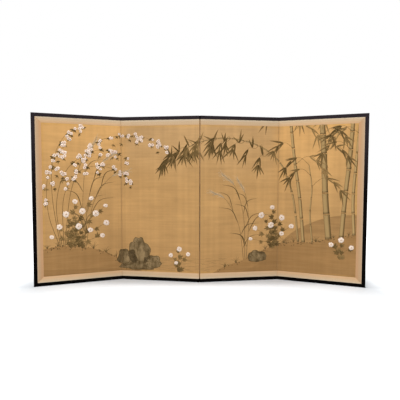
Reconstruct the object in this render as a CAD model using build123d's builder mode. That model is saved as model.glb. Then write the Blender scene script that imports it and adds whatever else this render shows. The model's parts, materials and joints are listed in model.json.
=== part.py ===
from build123d import *

import os
from dataclasses import dataclass
from math import cos, radians, sin, sqrt

# Four-panel folding screen. Each panel is a half-lapped wooden lattice, skinned on both faces
# with pasted paper, faced with a painted silk and a brocade border, and edged with lacquered
# trim. Paper hinge bands join the panels. The front faces -Y, +X is the viewer's right and +Z
# is up. The origin is on the floor, at the middle of the open screen's bounding box.

# Overall sizes, in millimetres
screen_height = 914.0
inner_panel_width = 444.0
outer_panel_width = 470.0

# Rest pose: how far each fold is turned from flat, in degrees
outer_fold_angle = 32.7
centre_fold_angle = 19.2

# Layers of a panel, from the front to the back
trim_reveal = 1.0
silk_thickness = 0.5
front_lining_thickness = 1.2
core_thickness = 12.7
back_lining_thickness = 1.2
back_cover_thickness = 0.4

# Lacquered trim
trim_width = 19.0
trim_outer_radius = 1.4
trim_inner_radius = 0.6
trim_end_gap = 0.3
tongue_wall = 1.5
tongue_thickness = 3.0
peg_size = 4.0
peg_length = 16.0
level_peg_count = 3
upright_peg_count = 5

# Wooden core
core_member_width = 24.0
core_tenon_length = 14.0
core_tenon_shoulder = 3.0
lath_width = 9.0
lath_tenon_length = 6.0
upright_lath_count = 4
cross_lath_count = 8

# Facings
border_width = 31.0
facing_seam = 0.1

# Paper hinges
hinge_gap = 0.8
hinge_axis_offset = 0.3
hinge_paper_thickness = 0.4
hinge_flap_width = 20.0
hinge_band_count = 5
hinge_band_gap = 1.0

# Clearance on each side of a tenon, lap, tongue or peg
joint_clearance = 0.1

# Depths below the trim's front face, where each layer starts
lining_front = trim_reveal + silk_thickness
core_front = lining_front + front_lining_thickness
core_back = core_front + core_thickness
cover_front = core_back + back_lining_thickness
trim_depth = cover_front + back_cover_thickness + trim_reveal
core_middle = (core_front + core_back) / 2
trim_middle = trim_depth / 2
tenon_thickness = core_thickness / 3

# Heights
field_bottom = trim_width
field_top = screen_height - trim_width
field_height = field_top - field_bottom
middle_height = screen_height / 2
rail_inner_bottom = field_bottom + core_member_width
rail_inner_top = field_top - core_member_width

tongue_side = (trim_width / 2 - tongue_wall) * sqrt(2)
up = Vector(0, 0, 1)


@dataclass
class Panel:
    """One leaf of the screen. Points are given along it, by depth behind the trim's front
    face, and by height."""

    name: str
    width: float
    heading: float
    trimmed_side: str
    origin: Vector

    @property
    def along(self):
        """Direction of the panel's width, from its left edge to its right edge."""
        return Vector(cos(radians(self.heading)), sin(radians(self.heading)), 0)

    @property
    def forward(self):
        """Direction that the panel's front faces."""
        return Vector(sin(radians(self.heading)), -cos(radians(self.heading)), 0)

    def point(self, along, depth, height=0.0):
        return self.origin + self.along * along - self.forward * depth + up * height

    def face(self, depth):
        """Plane of the panel's face at a depth: x along the panel, y up."""
        return Plane(origin=self.point(0, depth), x_dir=self.along, z_dir=self.forward)

    def plan(self, height):
        """Horizontal plane at a height: x along the panel, y towards its back."""
        return Plane(origin=self.point(0, 0, height), x_dir=self.along, z_dir=up)

    def inward(self, side, distance):
        """Place along the panel at a distance in from one of its sides."""
        return distance if side == "left" else self.width - distance

    def edge_inset(self, side, trimmed, hinged):
        return self.inward(side, trimmed if side == self.trimmed_side else hinged)

    @property
    def hinged_sides(self):
        return [side for side in ("left", "right") if side != self.trimmed_side]

    def span(self, trimmed, hinged):
        """Left and right ends of a layer that stops at these distances from the sides."""
        return (
            self.edge_inset("left", trimmed, hinged),
            self.edge_inset("right", trimmed, hinged),
        )


def evenly_spaced(low, high, count):
    """Places that divide the space between low and high into count + 1 equal bays."""
    return [low + (high - low) * (i + 1) / (count + 1) for i in range(count)]


def hinge_bands():
    """Bottom height of each hinge band, and the height of a band."""
    pitch = field_height / hinge_band_count
    bottoms = [field_bottom + pitch * i + hinge_band_gap / 2 for i in range(hinge_band_count)]
    return bottoms, pitch - hinge_band_gap


def front_bands(side):
    """Bands pasted to the front at this side of a panel: they alternate, so that each band runs
    from the front of one panel to the back of its neighbour."""
    bottoms, _ = hinge_bands()
    return bottoms[0::2] if side == "right" else bottoms[1::2]


def back_bands(side):
    """Bands pasted to the back at this side of a panel."""
    return front_bands("left" if side == "right" else "right")


def layout():
    """The four panels in their rest pose, and the three hinge axes in plan."""
    inner_heading = centre_fold_angle / 2
    outer_heading = outer_fold_angle - inner_heading
    back_axis_depth = trim_depth + hinge_axis_offset

    def screen_panels(centre_axis):
        panel_2 = Panel("panel_2", inner_panel_width, -inner_heading, "none", Vector())
        panel_3 = Panel("panel_3", inner_panel_width, inner_heading, "none", Vector())
        panel_1 = Panel("panel_1", outer_panel_width, outer_heading, "left", Vector())
        panel_4 = Panel("panel_4", outer_panel_width, -outer_heading, "right", Vector())
        panel_2.origin = centre_axis - panel_2.point(inner_panel_width, back_axis_depth)
        panel_3.origin = centre_axis - panel_3.point(0, back_axis_depth)
        left_axis = panel_2.point(0, -hinge_axis_offset)
        right_axis = panel_3.point(inner_panel_width, -hinge_axis_offset)
        panel_1.origin = left_axis - panel_1.point(outer_panel_width, -hinge_axis_offset)
        panel_4.origin = right_axis - panel_4.point(0, -hinge_axis_offset)
        return [panel_1, panel_2, panel_3, panel_4], [left_axis, centre_axis, right_axis]

    # The bounding box runs from the rounded front corner of the outer panels to the back
    # corners at the outer folds, and its middle in Y is the origin.
    (first, second, _, _), _ = screen_panels(Vector())
    front_edge = first.point(trim_outer_radius, trim_outer_radius).Y - trim_outer_radius
    back_edge = max(
        first.point(outer_panel_width - trim_end_gap / 2, trim_depth).Y,
        second.point(trim_end_gap / 2, trim_depth).Y,
    )
    return screen_panels(Vector(0, -(front_edge + back_edge) / 2, 0))


def save(builder, name):
    """Label a finished piece and write it as its own node."""
    builder.part.label = name
    export_step(builder.part, f"parts/{name}.step")


def core_span(panel):
    """Left and right ends of the core and its linings."""
    return panel.span(trim_width, hinge_gap / 2 + hinge_paper_thickness)


def upright_places(panel):
    left, right = core_span(panel)
    return evenly_spaced(left + core_member_width, right - core_member_width, upright_lath_count)


def cross_places():
    return evenly_spaced(rail_inner_bottom, rail_inner_top, cross_lath_count)


def across_peg_places(panel):
    left, right = core_span(panel)
    return evenly_spaced(left, right, level_peg_count)


def upright_peg_places():
    return evenly_spaced(field_bottom, field_top, upright_peg_count)


def trim_joint_places(panel):
    """Middle of each blind peg between the trim and the core, as points on the panel's face
    with the peg's size across and up."""
    across = [
        (place, height, peg_size, peg_length)
        for height in (field_bottom, field_top)
        for place in across_peg_places(panel)
    ]
    upright = [
        (panel.inward(panel.trimmed_side, trim_width), height, peg_length, peg_size)
        for height in upright_peg_places()
        if panel.trimmed_side != "none"
    ]
    return across + upright


def core_stiles(panel):
    """The two upright members of the core frame, mortised for the rails and cross laths."""
    left, right = core_span(panel)
    tenon_front = core_middle - tenon_thickness / 2 - joint_clearance
    with BuildPart() as stiles:
        with BuildSketch(panel.face(core_front)):
            with Locations(
                (left + core_member_width / 2, middle_height),
                (right - core_member_width / 2, middle_height),
            ):
                Rectangle(core_member_width, field_height)
        extrude(amount=-core_thickness)
        with BuildSketch(panel.face(tenon_front)):
            for edge, inward in ((left + core_member_width, -1), (right - core_member_width, 1)):
                rail_socket = core_tenon_length + joint_clearance
                with Locations(
                    (edge + inward * rail_socket / 2, field_bottom + core_member_width / 2),
                    (edge + inward * rail_socket / 2, field_top - core_member_width / 2),
                ):
                    Rectangle(
                        rail_socket,
                        core_member_width - 2 * core_tenon_shoulder + 2 * joint_clearance,
                    )
                lath_socket = lath_tenon_length + joint_clearance
                with Locations(*[(edge + inward * lath_socket / 2, z) for z in cross_places()]):
                    Rectangle(lath_socket, lath_width + 2 * joint_clearance)
        extrude(amount=-(tenon_thickness + 2 * joint_clearance), mode=Mode.SUBTRACT)
        cut_peg_sockets(panel)
    save(stiles, f"{panel.name}_core_stiles")


def core_rails(panel):
    """The top and bottom members of the core frame, tenoned into the stiles."""
    left, right = core_span(panel)
    inner_left = left + core_member_width
    inner_right = right - core_member_width
    centre = (left + right) / 2
    rail_heights = (
        field_bottom + core_member_width / 2,
        field_top - core_member_width / 2,
    )
    socket = lath_tenon_length + joint_clearance
    socket_heights = (rail_inner_bottom - socket / 2, rail_inner_top + socket / 2)
    with BuildPart() as rails:
        with BuildSketch(panel.face(core_front)):
            with Locations(*[(centre, z) for z in rail_heights]):
                Rectangle(inner_right - inner_left, core_member_width)
        extrude(amount=-core_thickness)
        with BuildSketch(panel.face(core_middle - tenon_thickness / 2)):
            with Locations(*[(centre, z) for z in rail_heights]):
                Rectangle(
                    inner_right - inner_left + 2 * core_tenon_length,
                    core_member_width - 2 * core_tenon_shoulder,
                )
        extrude(amount=-tenon_thickness)
        with BuildSketch(panel.face(core_middle - tenon_thickness / 2 - joint_clearance)):
            with Locations(*[(x, z) for x in upright_places(panel) for z in socket_heights]):
                Rectangle(lath_width + 2 * joint_clearance, socket)
        extrude(amount=-(tenon_thickness + 2 * joint_clearance), mode=Mode.SUBTRACT)
        cut_peg_sockets(panel)
    save(rails, f"{panel.name}_core_rails")


def cut_peg_sockets(panel):
    """Cut the blind sockets of the trim's pegs out of the part being built."""
    depth = peg_size + 2 * joint_clearance
    for along, height, width, length in trim_joint_places(panel):
        with Locations(panel.face(trim_middle).location * Location((along, height, 0))):
            Box(
                width + 2 * joint_clearance,
                length + 2 * joint_clearance,
                depth,
                mode=Mode.SUBTRACT,
            )


def upright_laths(panel):
    """Full-height laths, notched on their back half where the cross laths pass."""
    places = upright_places(panel)
    length = rail_inner_top - rail_inner_bottom
    with BuildPart() as laths:
        with BuildSketch(panel.face(core_front)):
            with Locations(*[(x, middle_height) for x in places]):
                Rectangle(lath_width, length)
        extrude(amount=-core_thickness)
        with BuildSketch(panel.face(core_middle - tenon_thickness / 2)):
            with Locations(*[(x, middle_height) for x in places]):
                Rectangle(lath_width, length + 2 * lath_tenon_length)
        extrude(amount=-tenon_thickness)
        with BuildSketch(panel.face(core_middle)):
            with Locations(*[(x, z) for x in places for z in cross_places()]):
                Rectangle(2 * lath_width, lath_width + 2 * joint_clearance)
        extrude(amount=-core_thickness, mode=Mode.SUBTRACT)
    save(laths, f"{panel.name}_upright_laths")


def cross_laths(panel):
    """Level laths, notched on their front half to lap behind the upright laths."""
    left, right = core_span(panel)
    length = right - left - 2 * core_member_width
    centre = (left + right) / 2
    with BuildPart() as laths:
        with BuildSketch(panel.face(core_front)):
            with Locations(*[(centre, z) for z in cross_places()]):
                Rectangle(length, lath_width)
        extrude(amount=-core_thickness)
        with BuildSketch(panel.face(core_middle - tenon_thickness / 2)):
            with Locations(*[(centre, z) for z in cross_places()]):
                Rectangle(length + 2 * lath_tenon_length, lath_width)
        extrude(amount=-tenon_thickness)
        with BuildSketch(panel.face(core_middle)):
            with Locations(*[(x, z) for x in upright_places(panel) for z in cross_places()]):
                Rectangle(lath_width + 2 * joint_clearance, 2 * lath_width)
        extrude(amount=core_thickness, mode=Mode.SUBTRACT)
    save(laths, f"{panel.name}_cross_laths")


def front_lining(panel):
    """Pasted paper under the silk, rebated where hinge flaps lie on it."""
    left, right = core_span(panel)
    _, band_height = hinge_bands()
    with BuildPart() as lining:
        with BuildSketch(panel.face(lining_front)):
            with Locations(((left + right) / 2, middle_height)):
                Rectangle(right - left, field_height)
        extrude(amount=-front_lining_thickness)
        with BuildSketch(panel.face(lining_front)):
            for side in panel.hinged_sides:
                middle = panel.inward(side, hinge_gap / 2 + hinge_flap_width / 2)
                with Locations(*[(middle, z + band_height / 2) for z in front_bands(side)]):
                    Rectangle(hinge_flap_width + 2 * joint_clearance, band_height)
        extrude(amount=-hinge_paper_thickness, mode=Mode.SUBTRACT)
    save(lining, f"{panel.name}_front_lining")


def back_lining(panel):
    """Pasted paper under the back cover, rebated where hinge bands turn onto it."""
    left, right = core_span(panel)
    _, band_height = hinge_bands()
    with BuildPart() as lining:
        with BuildSketch(panel.face(core_back)):
            with Locations(((left + right) / 2, middle_height)):
                Rectangle(right - left, field_height)
        extrude(amount=-back_lining_thickness)
        with BuildSketch(panel.face(cover_front)):
            for side in panel.hinged_sides:
                middle = panel.inward(side, hinge_gap / 2 + hinge_flap_width / 2)
                with Locations(*[(middle, z + band_height / 2) for z in back_bands(side)]):
                    Rectangle(hinge_flap_width + 2 * joint_clearance, band_height)
        extrude(amount=hinge_paper_thickness, mode=Mode.SUBTRACT)
    save(lining, f"{panel.name}_back_lining")


def back_cover(panel):
    """Patterned backing paper over the whole of the panel's back."""
    left, right = panel.span(trim_width, hinge_gap / 2)
    with BuildPart() as cover:
        with BuildSketch(panel.face(cover_front)):
            with Locations(((left + right) / 2, middle_height)):
                Rectangle(right - left, field_height)
        extrude(amount=-back_cover_thickness)
    save(cover, f"{panel.name}_back_cover")


def painted_silk(panel):
    """Silk inside the border, running to the panel's edge at each hinge."""
    left, right = panel.span(trim_width + border_width, hinge_gap / 2)
    with BuildPart() as silk:
        with BuildSketch(panel.face(trim_reveal)):
            with Locations(((left + right) / 2, middle_height)):
                Rectangle(right - left, field_height - 2 * border_width)
        extrude(amount=-silk_thickness)
    save(silk, f"{panel.name}_painted_silk")


def brocade_border(panel):
    """Brocade strips along the trim, mitred where an upright strip meets the level ones."""
    left, right = panel.span(trim_width, hinge_gap / 2)
    half_seam = facing_seam / 2
    strip = border_width - facing_seam
    left_mitre = strip if panel.trimmed_side == "left" else 0
    right_mitre = strip if panel.trimmed_side == "right" else 0
    with BuildPart() as border:
        with BuildSketch(panel.face(trim_reveal)):
            for edge, inward in ((field_bottom, 1), (field_top, -1)):
                with BuildLine():
                    Polyline(
                        (left, edge),
                        (right, edge),
                        (right - right_mitre, edge + inward * strip),
                        (left + left_mitre, edge + inward * strip),
                        close=True,
                    )
                make_face()
            if panel.trimmed_side != "none":
                outer = panel.inward(panel.trimmed_side, trim_width)
                inner = panel.inward(panel.trimmed_side, trim_width + strip)
                with BuildLine():
                    Polyline(
                        (outer, field_bottom + facing_seam),
                        (outer, field_top - facing_seam),
                        (inner, field_top - facing_seam - strip),
                        (inner, field_bottom + facing_seam + strip),
                        close=True,
                    )
                make_face()
        extrude(amount=-silk_thickness)
    save(border, f"{panel.name}_brocade_border")


def mitre_plane(panel, side, outward):
    """Plane of a corner mitre, facing the level trim."""
    corner = panel.point(panel.inward(side, 0), trim_middle, middle_height)
    corner += outward * middle_height
    inward = panel.along if side == "left" else panel.along * -1
    return Plane(origin=corner, z_dir=inward + outward)


def cut_tongue_slots(panel):
    """Cut the slots of the mitre tongues out of the part being built."""
    slot = tongue_side + 2 * joint_clearance
    along = panel.inward(panel.trimmed_side, trim_width / 2)
    for height in (trim_width / 2, screen_height - trim_width / 2):
        place = panel.face(trim_middle).location * Location((along, height, 0), (0, 0, 45))
        with Locations(place):
            Box(slot, slot, tongue_thickness + 2 * joint_clearance, mode=Mode.SUBTRACT)


def level_trim(panel, outward, name):
    """Lacquered trim along the panel's top or bottom, mitred at a trimmed side."""
    left, right = panel.span(0, trim_end_gap / 2)
    start = panel.point(left, trim_middle, middle_height) + outward * (
        middle_height - trim_width
    )
    with BuildPart() as trim:
        with BuildSketch(Plane(origin=start, x_dir=outward, z_dir=panel.along)):
            with Locations((trim_width / 2, 0)):
                Rectangle(trim_width, trim_depth)
            fillet(vertices().group_by(Axis.X)[-1], radius=trim_outer_radius)
            fillet(vertices().group_by(Axis.X)[0], radius=trim_inner_radius)
        extrude(amount=right - left)
        if panel.trimmed_side != "none":
            split(bisect_by=mitre_plane(panel, panel.trimmed_side, outward), keep=Keep.TOP)
            cut_tongue_slots(panel)
        cut_peg_sockets(panel)
    save(trim, f"{panel.name}_{name}")


def side_trim(panel):
    """Lacquered trim up the outer side of an end panel, mitred at both ends."""
    outward = panel.along * (-1 if panel.trimmed_side == "left" else 1)
    start = panel.point(panel.inward(panel.trimmed_side, trim_width), trim_middle)
    with BuildPart() as trim:
        with BuildSketch(Plane(origin=start, x_dir=outward, z_dir=up)):
            with Locations((trim_width / 2, 0)):
                Rectangle(trim_width, trim_depth)
            fillet(vertices().group_by(Axis.X)[-1], radius=trim_outer_radius)
            fillet(vertices().group_by(Axis.X)[0], radius=trim_inner_radius)
        extrude(amount=screen_height)
        split(bisect_by=mitre_plane(panel, panel.trimmed_side, up), keep=Keep.BOTTOM)
        split(bisect_by=mitre_plane(panel, panel.trimmed_side, up * -1), keep=Keep.BOTTOM)
        cut_tongue_slots(panel)
        cut_peg_sockets(panel)
    save(trim, f"{panel.name}_side_trim")


def corner_tongues(panel):
    """Loose wooden tongues that lock the trim's two mitres."""
    along = panel.inward(panel.trimmed_side, trim_width / 2)
    with BuildPart() as tongues:
        with BuildSketch(panel.face(trim_middle - tongue_thickness / 2)):
            with Locations((along, trim_width / 2), (along, screen_height - trim_width / 2)):
                Rectangle(tongue_side, tongue_side, rotation=45)
        extrude(amount=-tongue_thickness)
    save(tongues, f"{panel.name}_corner_tongues")


def trim_pegs(panel):
    """Square blind pegs, half in the trim and half in the core."""
    with BuildPart() as pegs:
        with BuildSketch(panel.face(trim_middle - peg_size / 2)):
            for along, height, width, length in trim_joint_places(panel):
                with Locations((along, height)):
                    Rectangle(width, length)
        extrude(amount=-peg_size)
    save(pegs, f"{panel.name}_trim_pegs")


def leaf_outline(panel, side, pasted, inward, turned):
    """Plan outline of a hinge leaf, pasted flat under a facing. Its outer face is at one depth
    and it is as thick as the paper inward from there. A turned leaf also covers the edge."""
    edge = panel.inward(side, hinge_gap / 2)
    covered = panel.inward(side, hinge_gap / 2 + hinge_paper_thickness)
    flap_end = panel.inward(side, hinge_gap / 2 + hinge_flap_width)
    inner = pasted + inward * hinge_paper_thickness
    far = lining_front + cover_front - pasted
    flap = [(edge, pasted), (flap_end, pasted), (flap_end, inner)]
    return flap + ([(covered, inner), (covered, far), (edge, far)] if turned else [(edge, inner)])


def hinge_leaves(panel, side, hinge, at_ridge):
    """The halves of a paper hinge's bands that are pasted to one panel. The free part of a band
    lies over a panel's edge: at a ridge the one whose front it is pasted to, and at a valley
    the one whose back it is pasted to."""
    _, band_height = hinge_bands()
    front_leaf = leaf_outline(panel, side, lining_front, 1, turned=at_ridge)
    back_leaf = leaf_outline(panel, side, cover_front, -1, turned=not at_ridge)
    leaves = [(bottom, front_leaf) for bottom in front_bands(side)]
    leaves += [(bottom, back_leaf) for bottom in back_bands(side)]
    with BuildPart() as bands:
        for bottom, outline in leaves:
            with BuildSketch(panel.plan(bottom)):
                with BuildLine():
                    Polyline(*outline, close=True)
                make_face()
            extrude(amount=band_height)
    save(bands, f"{panel.name}_{hinge}_leaves")


def build_panel(panel):
    core_stiles(panel)
    core_rails(panel)
    upright_laths(panel)
    cross_laths(panel)
    front_lining(panel)
    back_lining(panel)
    back_cover(panel)
    painted_silk(panel)
    brocade_border(panel)
    level_trim(panel, up, "top_trim")
    level_trim(panel, up * -1, "bottom_trim")
    trim_pegs(panel)
    if panel.trimmed_side != "none":
        side_trim(panel)
        corner_tongues(panel)


os.makedirs("parts", exist_ok=True)
panels, hinge_axes = layout()
for panel in panels:
    build_panel(panel)

hinges = [("left_hinge", False), ("centre_hinge", True), ("right_hinge", False)]
for (hinge, at_ridge), left_panel, right_panel in zip(hinges, panels[:-1], panels[1:]):
    hinge_leaves(left_panel, "right", hinge, at_ridge)
    hinge_leaves(right_panel, "left", hinge, at_ridge)

for (hinge, _), axis in zip(hinges, hinge_axes):
    print(f"{hinge} axis at x {axis.X:.4f}, y {axis.Y:.4f}")
print(f"trim depth {trim_depth:.2f}")
for panel in panels:
    foot = panel.point(panel.width / 2, trim_middle)
    print(f"{panel.name} stands on its bottom trim at x {foot.X:.4f}, y {foot.Y:.4f}")
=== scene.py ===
import json
import math
import random
from typing import NamedTuple

import bmesh
import bpy
from mathutils import Matrix, Vector, noise


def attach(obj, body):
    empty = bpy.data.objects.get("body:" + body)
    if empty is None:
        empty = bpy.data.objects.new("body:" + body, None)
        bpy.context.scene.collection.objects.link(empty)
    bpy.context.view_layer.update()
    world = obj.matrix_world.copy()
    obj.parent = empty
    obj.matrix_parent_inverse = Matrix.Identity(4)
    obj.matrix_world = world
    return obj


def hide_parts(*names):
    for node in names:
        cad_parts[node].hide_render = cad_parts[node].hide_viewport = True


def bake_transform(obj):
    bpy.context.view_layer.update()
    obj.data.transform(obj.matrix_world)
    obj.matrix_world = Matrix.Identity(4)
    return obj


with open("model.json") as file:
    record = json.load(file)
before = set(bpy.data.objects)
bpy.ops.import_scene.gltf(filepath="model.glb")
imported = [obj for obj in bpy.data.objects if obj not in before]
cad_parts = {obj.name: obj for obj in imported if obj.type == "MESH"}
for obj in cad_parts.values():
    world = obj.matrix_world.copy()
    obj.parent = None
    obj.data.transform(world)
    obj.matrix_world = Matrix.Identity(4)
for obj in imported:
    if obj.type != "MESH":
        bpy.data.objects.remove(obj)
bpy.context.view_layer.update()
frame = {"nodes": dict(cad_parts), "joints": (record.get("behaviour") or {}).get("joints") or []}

bl_info = {
    "name": "Folding Screen Finisher",
    "version": (1, 0, 0),
    "blender": (4, 5, 0),
    "location": "View3D > Sidebar > Folding Screen",
    "description": "Dresses a four-panel folding screen in lacquer, silk, brocade, paper and paint",
    "category": "Object",
}

MM = 0.001
UP = Vector((0, 0, 1))
PANELS = ("panel_1", "panel_2", "panel_3", "panel_4")

# Layers of cloth, paper and paint. A bending band reaches a little past the leaves that it joins,
# silk steps up over a hinge's flap, and paint reaches down into the silk.
SILK_THICKNESS = 0.45 * MM
HINGE_PAPER = 0.4 * MM
HINGE_FLAP = 20 * MM
FOLD_GAP = 0.8 * MM
BAND_REACH = 0.45 * MM
PASTE_GAP = 0.05 * MM
FLAP_STEP = 0.05 * MM
BROCADE_STEP = 0.10 * MM
PAINT_BODY = 0.5 * MM
HEM_DEPTH = 0.22 * MM
SILK_RIPPLE = 0.05 * MM
BROCADE_RIPPLE = 0.06 * MM


# ---------------------------------------------------------------- places on the screen


def node_points(name):
    """A CAD node's points, in the frame."""
    return [v.co for v in frame["nodes"][name].data.vertices]


class Face:
    """The painted face of one panel. Flat places on it are measured from the lower left corner
    of the whole painting, as if the screen lay open: x along it and y up."""

    def __init__(self, body, start):
        self.body = body
        points = node_points(f"{body}_painted_silk")
        middle = sum(points, Vector()) / len(points)
        right_half = [p - middle for p in points if p.x > middle.x]
        across = sum(right_half, Vector()) / len(right_half)
        self.along = Vector((across.x, across.y, 0)).normalized()
        self.forward = Vector((self.along.y, -self.along.x, 0))
        runs = [p.dot(self.along) for p in points]
        self.start, self.width = start, max(runs) - min(runs)
        self.foot = min(p.z for p in points)
        self.height = max(p.z for p in points) - self.foot
        self.origin = (
            self.along * min(runs)
            + self.forward * max(p.dot(self.forward) for p in points)
            + UP * self.foot
        )

    @property
    def end(self):
        return self.start + self.width

    @property
    def heading(self):
        return math.atan2(self.along.y, self.along.x)

    @property
    def folds(self):
        """Flat places of the panel's edges that join another panel."""
        edges = {"panel_1": [self.end], "panel_4": [self.start]}
        return edges.get(self.body, [self.start, self.end])

    def place(self, x, y, lift=0.0):
        """Point in the frame for a flat place, raised off the silk by lift."""
        return self.origin + self.along * (x - self.start) + UP * y + self.forward * lift

    def lift(self, point):
        """How far a point of the frame stands in front of the silk."""
        return (point - self.origin).dot(self.forward)


def painted_faces():
    found = []
    for body in PANELS:
        start = found[-1].end + FOLD_GAP if found else 0.0
        found.append(Face(body, start))
    return found


faces = painted_faces()
painting_width = faces[-1].end
painting_height = faces[0].height


def border_width():
    """Width of the brocade strips: how far the border's top stands above the silk's."""
    top = max(p.z for p in node_points("panel_1_brocade_border"))
    return top - faces[0].foot - painting_height


# ---------------------------------------------------------------- settings


def colour_setting(name, description, default):
    return bpy.props.FloatVectorProperty(
        name=name, description=description, subtype="COLOR", size=3, min=0, max=1, default=default
    )


def number_setting(name, description, default, **kind):
    return bpy.props.FloatProperty(name=name, description=description, default=default, **kind)


def length_setting(name, description, default):
    return number_setting(name, description, default, unit="LENGTH", precision=4)


def angle_setting(name, description, degrees):
    return number_setting(name, description, math.radians(degrees), subtype="ANGLE")


class StageSettings(bpy.types.PropertyGroup):
    """Camera, lamps and floor."""

    eye: bpy.props.FloatVectorProperty(
        name="Eye", description="Where the camera stands", size=3, subtype="TRANSLATION",
        unit="LENGTH", default=(0.001, -2.3535, 0.592),
    )
    pan: angle_setting("Pan", "How far the view turns to the left", -0.007)
    tilt: angle_setting("Tilt", "How far the view dips below level", 3.292)
    roll: angle_setting("Roll", "How far the camera leans", 0.13)
    lens: number_setting("Lens", "Focal length", 38.955, subtype="DISTANCE_CAMERA")
    floor_size: length_setting("Floor Size", "Side of the floor", 60.0)
    floor_colour: colour_setting("Floor Colour", "Colour of the floor", (0.590, 0.605, 0.618))
    sky_colour: colour_setting("Sky Colour", "Even light from all round", (0.43, 0.44, 0.455))
    key_power: number_setting(
        "Key Power", "Power of the soft lamp high at the front left", 300.0, unit="POWER"
    )
    top_power: number_setting(
        "Top Power", "Power of the long soft lamp above and behind", 71.0, unit="POWER"
    )


class TimberSettings(bpy.types.PropertyGroup):
    """Lacquered trim and the bare wood inside."""

    lacquer: colour_setting("Lacquer", "Colour of the lacquered trim", (0.0012, 0.0007, 0.0006))
    # Painted sheen: a lighter haze on the upper trim, standing in for its gloss and the light from
    # above
    dust: colour_setting("Dust", "Haze on the upper trim", (0.0260, 0.0200, 0.0225))
    roughness: number_setting("Roughness", "Roughness of the lacquer", 0.34, subtype="FACTOR")
    cedar: colour_setting("Cedar", "Colour of the core's wood", (0.52, 0.34, 0.17))
    bamboo: colour_setting("Bamboo", "Colour of the blind pegs", (0.58, 0.42, 0.19))


class PaperSettings(bpy.types.PropertyGroup):
    """Linings, hinges and the printed paper on the back."""

    lining: colour_setting("Lining", "Colour of the pasted linings", (0.66, 0.58, 0.42))
    hinge: colour_setting("Hinge", "Paper hinges of the outer folds", (0.440, 0.262, 0.112))
    # Painted light: a lighter copy of the hinge paper, so that the deep gap of the centre fold looks
    # less shaded
    ridge_hinge: colour_setting("Ridge Hinge", "Paper hinge of the centre fold", (0.700, 0.480, 0.250))
    backing: colour_setting("Backing", "Ground of the backing paper", (0.205, 0.140, 0.078))
    print_colour: colour_setting("Print", "Waves printed on the backing", (0.115, 0.074, 0.040))
    wave: length_setting("Wave", "Radius of one printed wave", 26 * MM)
    leaf: length_setting("Paper Height", "Height of one pasted sheet of backing", 305 * MM)


class SilkSettings(bpy.types.PropertyGroup):
    """Ground of the painting."""

    top: colour_setting("Top", "Silk at the top of the outer panels", (0.640, 0.356, 0.128))
    inner_top: colour_setting("Inner Top", "Silk at the top of the inner panels", (0.556, 0.330, 0.141))
    middle: colour_setting("Middle", "Silk at half height", (0.520, 0.294, 0.110))
    foot: colour_setting("Foot", "Silk at the foot", (0.456, 0.254, 0.094))
    earth: colour_setting("Earth", "Wash of the near bank", (0.322, 0.172, 0.060))
    haze: colour_setting("Haze", "Wash of the far slope", (0.306, 0.168, 0.062))
    hem: colour_setting("Hem", "Silk close to the border", (0.570, 0.310, 0.085))
    cell: length_setting("Cell", "Size of one cell of the cloth's mesh", 14 * MM)


class BrocadeSettings(bpy.types.PropertyGroup):
    """Woven strips round the painting."""

    ground: colour_setting("Ground", "Ground of the weave", (0.585, 0.405, 0.235))
    figure: colour_setting("Figure", "Raised figure of the weave", (0.635, 0.448, 0.272))
    faded: colour_setting("Faded", "Paler weave along the trim", (0.630, 0.492, 0.335))
    worn: colour_setting("Worn", "Browner weave along the silk", (0.625, 0.388, 0.205))
    side_tint: colour_setting("Side Tint", "Tint of the two side strips", (0.890, 0.800, 0.735))
    repeat: length_setting("Repeat", "Size of one linked ring in the weave", 13 * MM)


class PaintSettings(bpy.types.PropertyGroup):
    """Colours of the painting."""

    culm: colour_setting("Culm", "Lit side of a bamboo culm", (0.325, 0.212, 0.088))
    culm_edge: colour_setting("Culm Edge", "Edges of a bamboo culm", (0.135, 0.083, 0.031))
    leaf: colour_setting("Leaf", "Palest leaves", (0.330, 0.200, 0.074))
    leaf_ink: colour_setting("Leaf Ink", "Darkest leaves", (0.108, 0.067, 0.023))
    petal: colour_setting("Petal", "Tips of the petals", (0.905, 0.745, 0.610))
    blush: colour_setting("Blush", "Roots of the petals", (0.600, 0.330, 0.235))
    heart: colour_setting("Heart", "Middles of the flowers", (0.330, 0.180, 0.060))
    grass: colour_setting("Grass", "Grass stems", (0.185, 0.120, 0.050))
    plume: colour_setting("Plume", "Plumes of the tall grass", (0.720, 0.540, 0.330))
    rock: colour_setting("Rock", "Pale faces of the rocks", (0.300, 0.203, 0.096))
    rock_ink: colour_setting("Rock Ink", "Dark faces of the rocks", (0.100, 0.063, 0.025))


SETTINGS = {
    "screen_stage": StageSettings,
    "screen_timber": TimberSettings,
    "screen_paper": PaperSettings,
    "screen_silk": SilkSettings,
    "screen_brocade": BrocadeSettings,
    "screen_paint": PaintSettings,
}


def settings(name):
    """One group of the scene's settings."""
    return getattr(bpy.context.scene, name)


# ---------------------------------------------------------------- node helpers


class Value:
    """What comes out of a node. Arithmetic on a number adds the nodes that work it out."""

    def __init__(self, nodes, socket):
        self.nodes = nodes
        self.socket = socket

    def __add__(self, other):
        return self.nodes.math("ADD", self, other)

    def __sub__(self, other):
        return self.nodes.math("SUBTRACT", self, other)

    def __rsub__(self, other):
        return self.nodes.math("SUBTRACT", other, self)

    def __mul__(self, other):
        return self.nodes.math("MULTIPLY", self, other)

    def __truediv__(self, other):
        return self.nodes.math("DIVIDE", self, other)

    def __mod__(self, other):
        return self.nodes.math("FLOORED_MODULO", self, other)

    def __lt__(self, other):
        return self.nodes.math("LESS_THAN", self, other)

    def __gt__(self, other):
        return self.nodes.math("GREATER_THAN", self, other)

    def __abs__(self):
        return self.nodes.math("ABSOLUTE", self)


def opaque(colour):
    """A colour for a socket that also wants an alpha."""
    return colour if isinstance(colour, Value) else (*colour, 1)


def toned(colour, share):
    """A colour made darker or lighter."""
    return [min(1.0, c * share) for c in colour]


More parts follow.
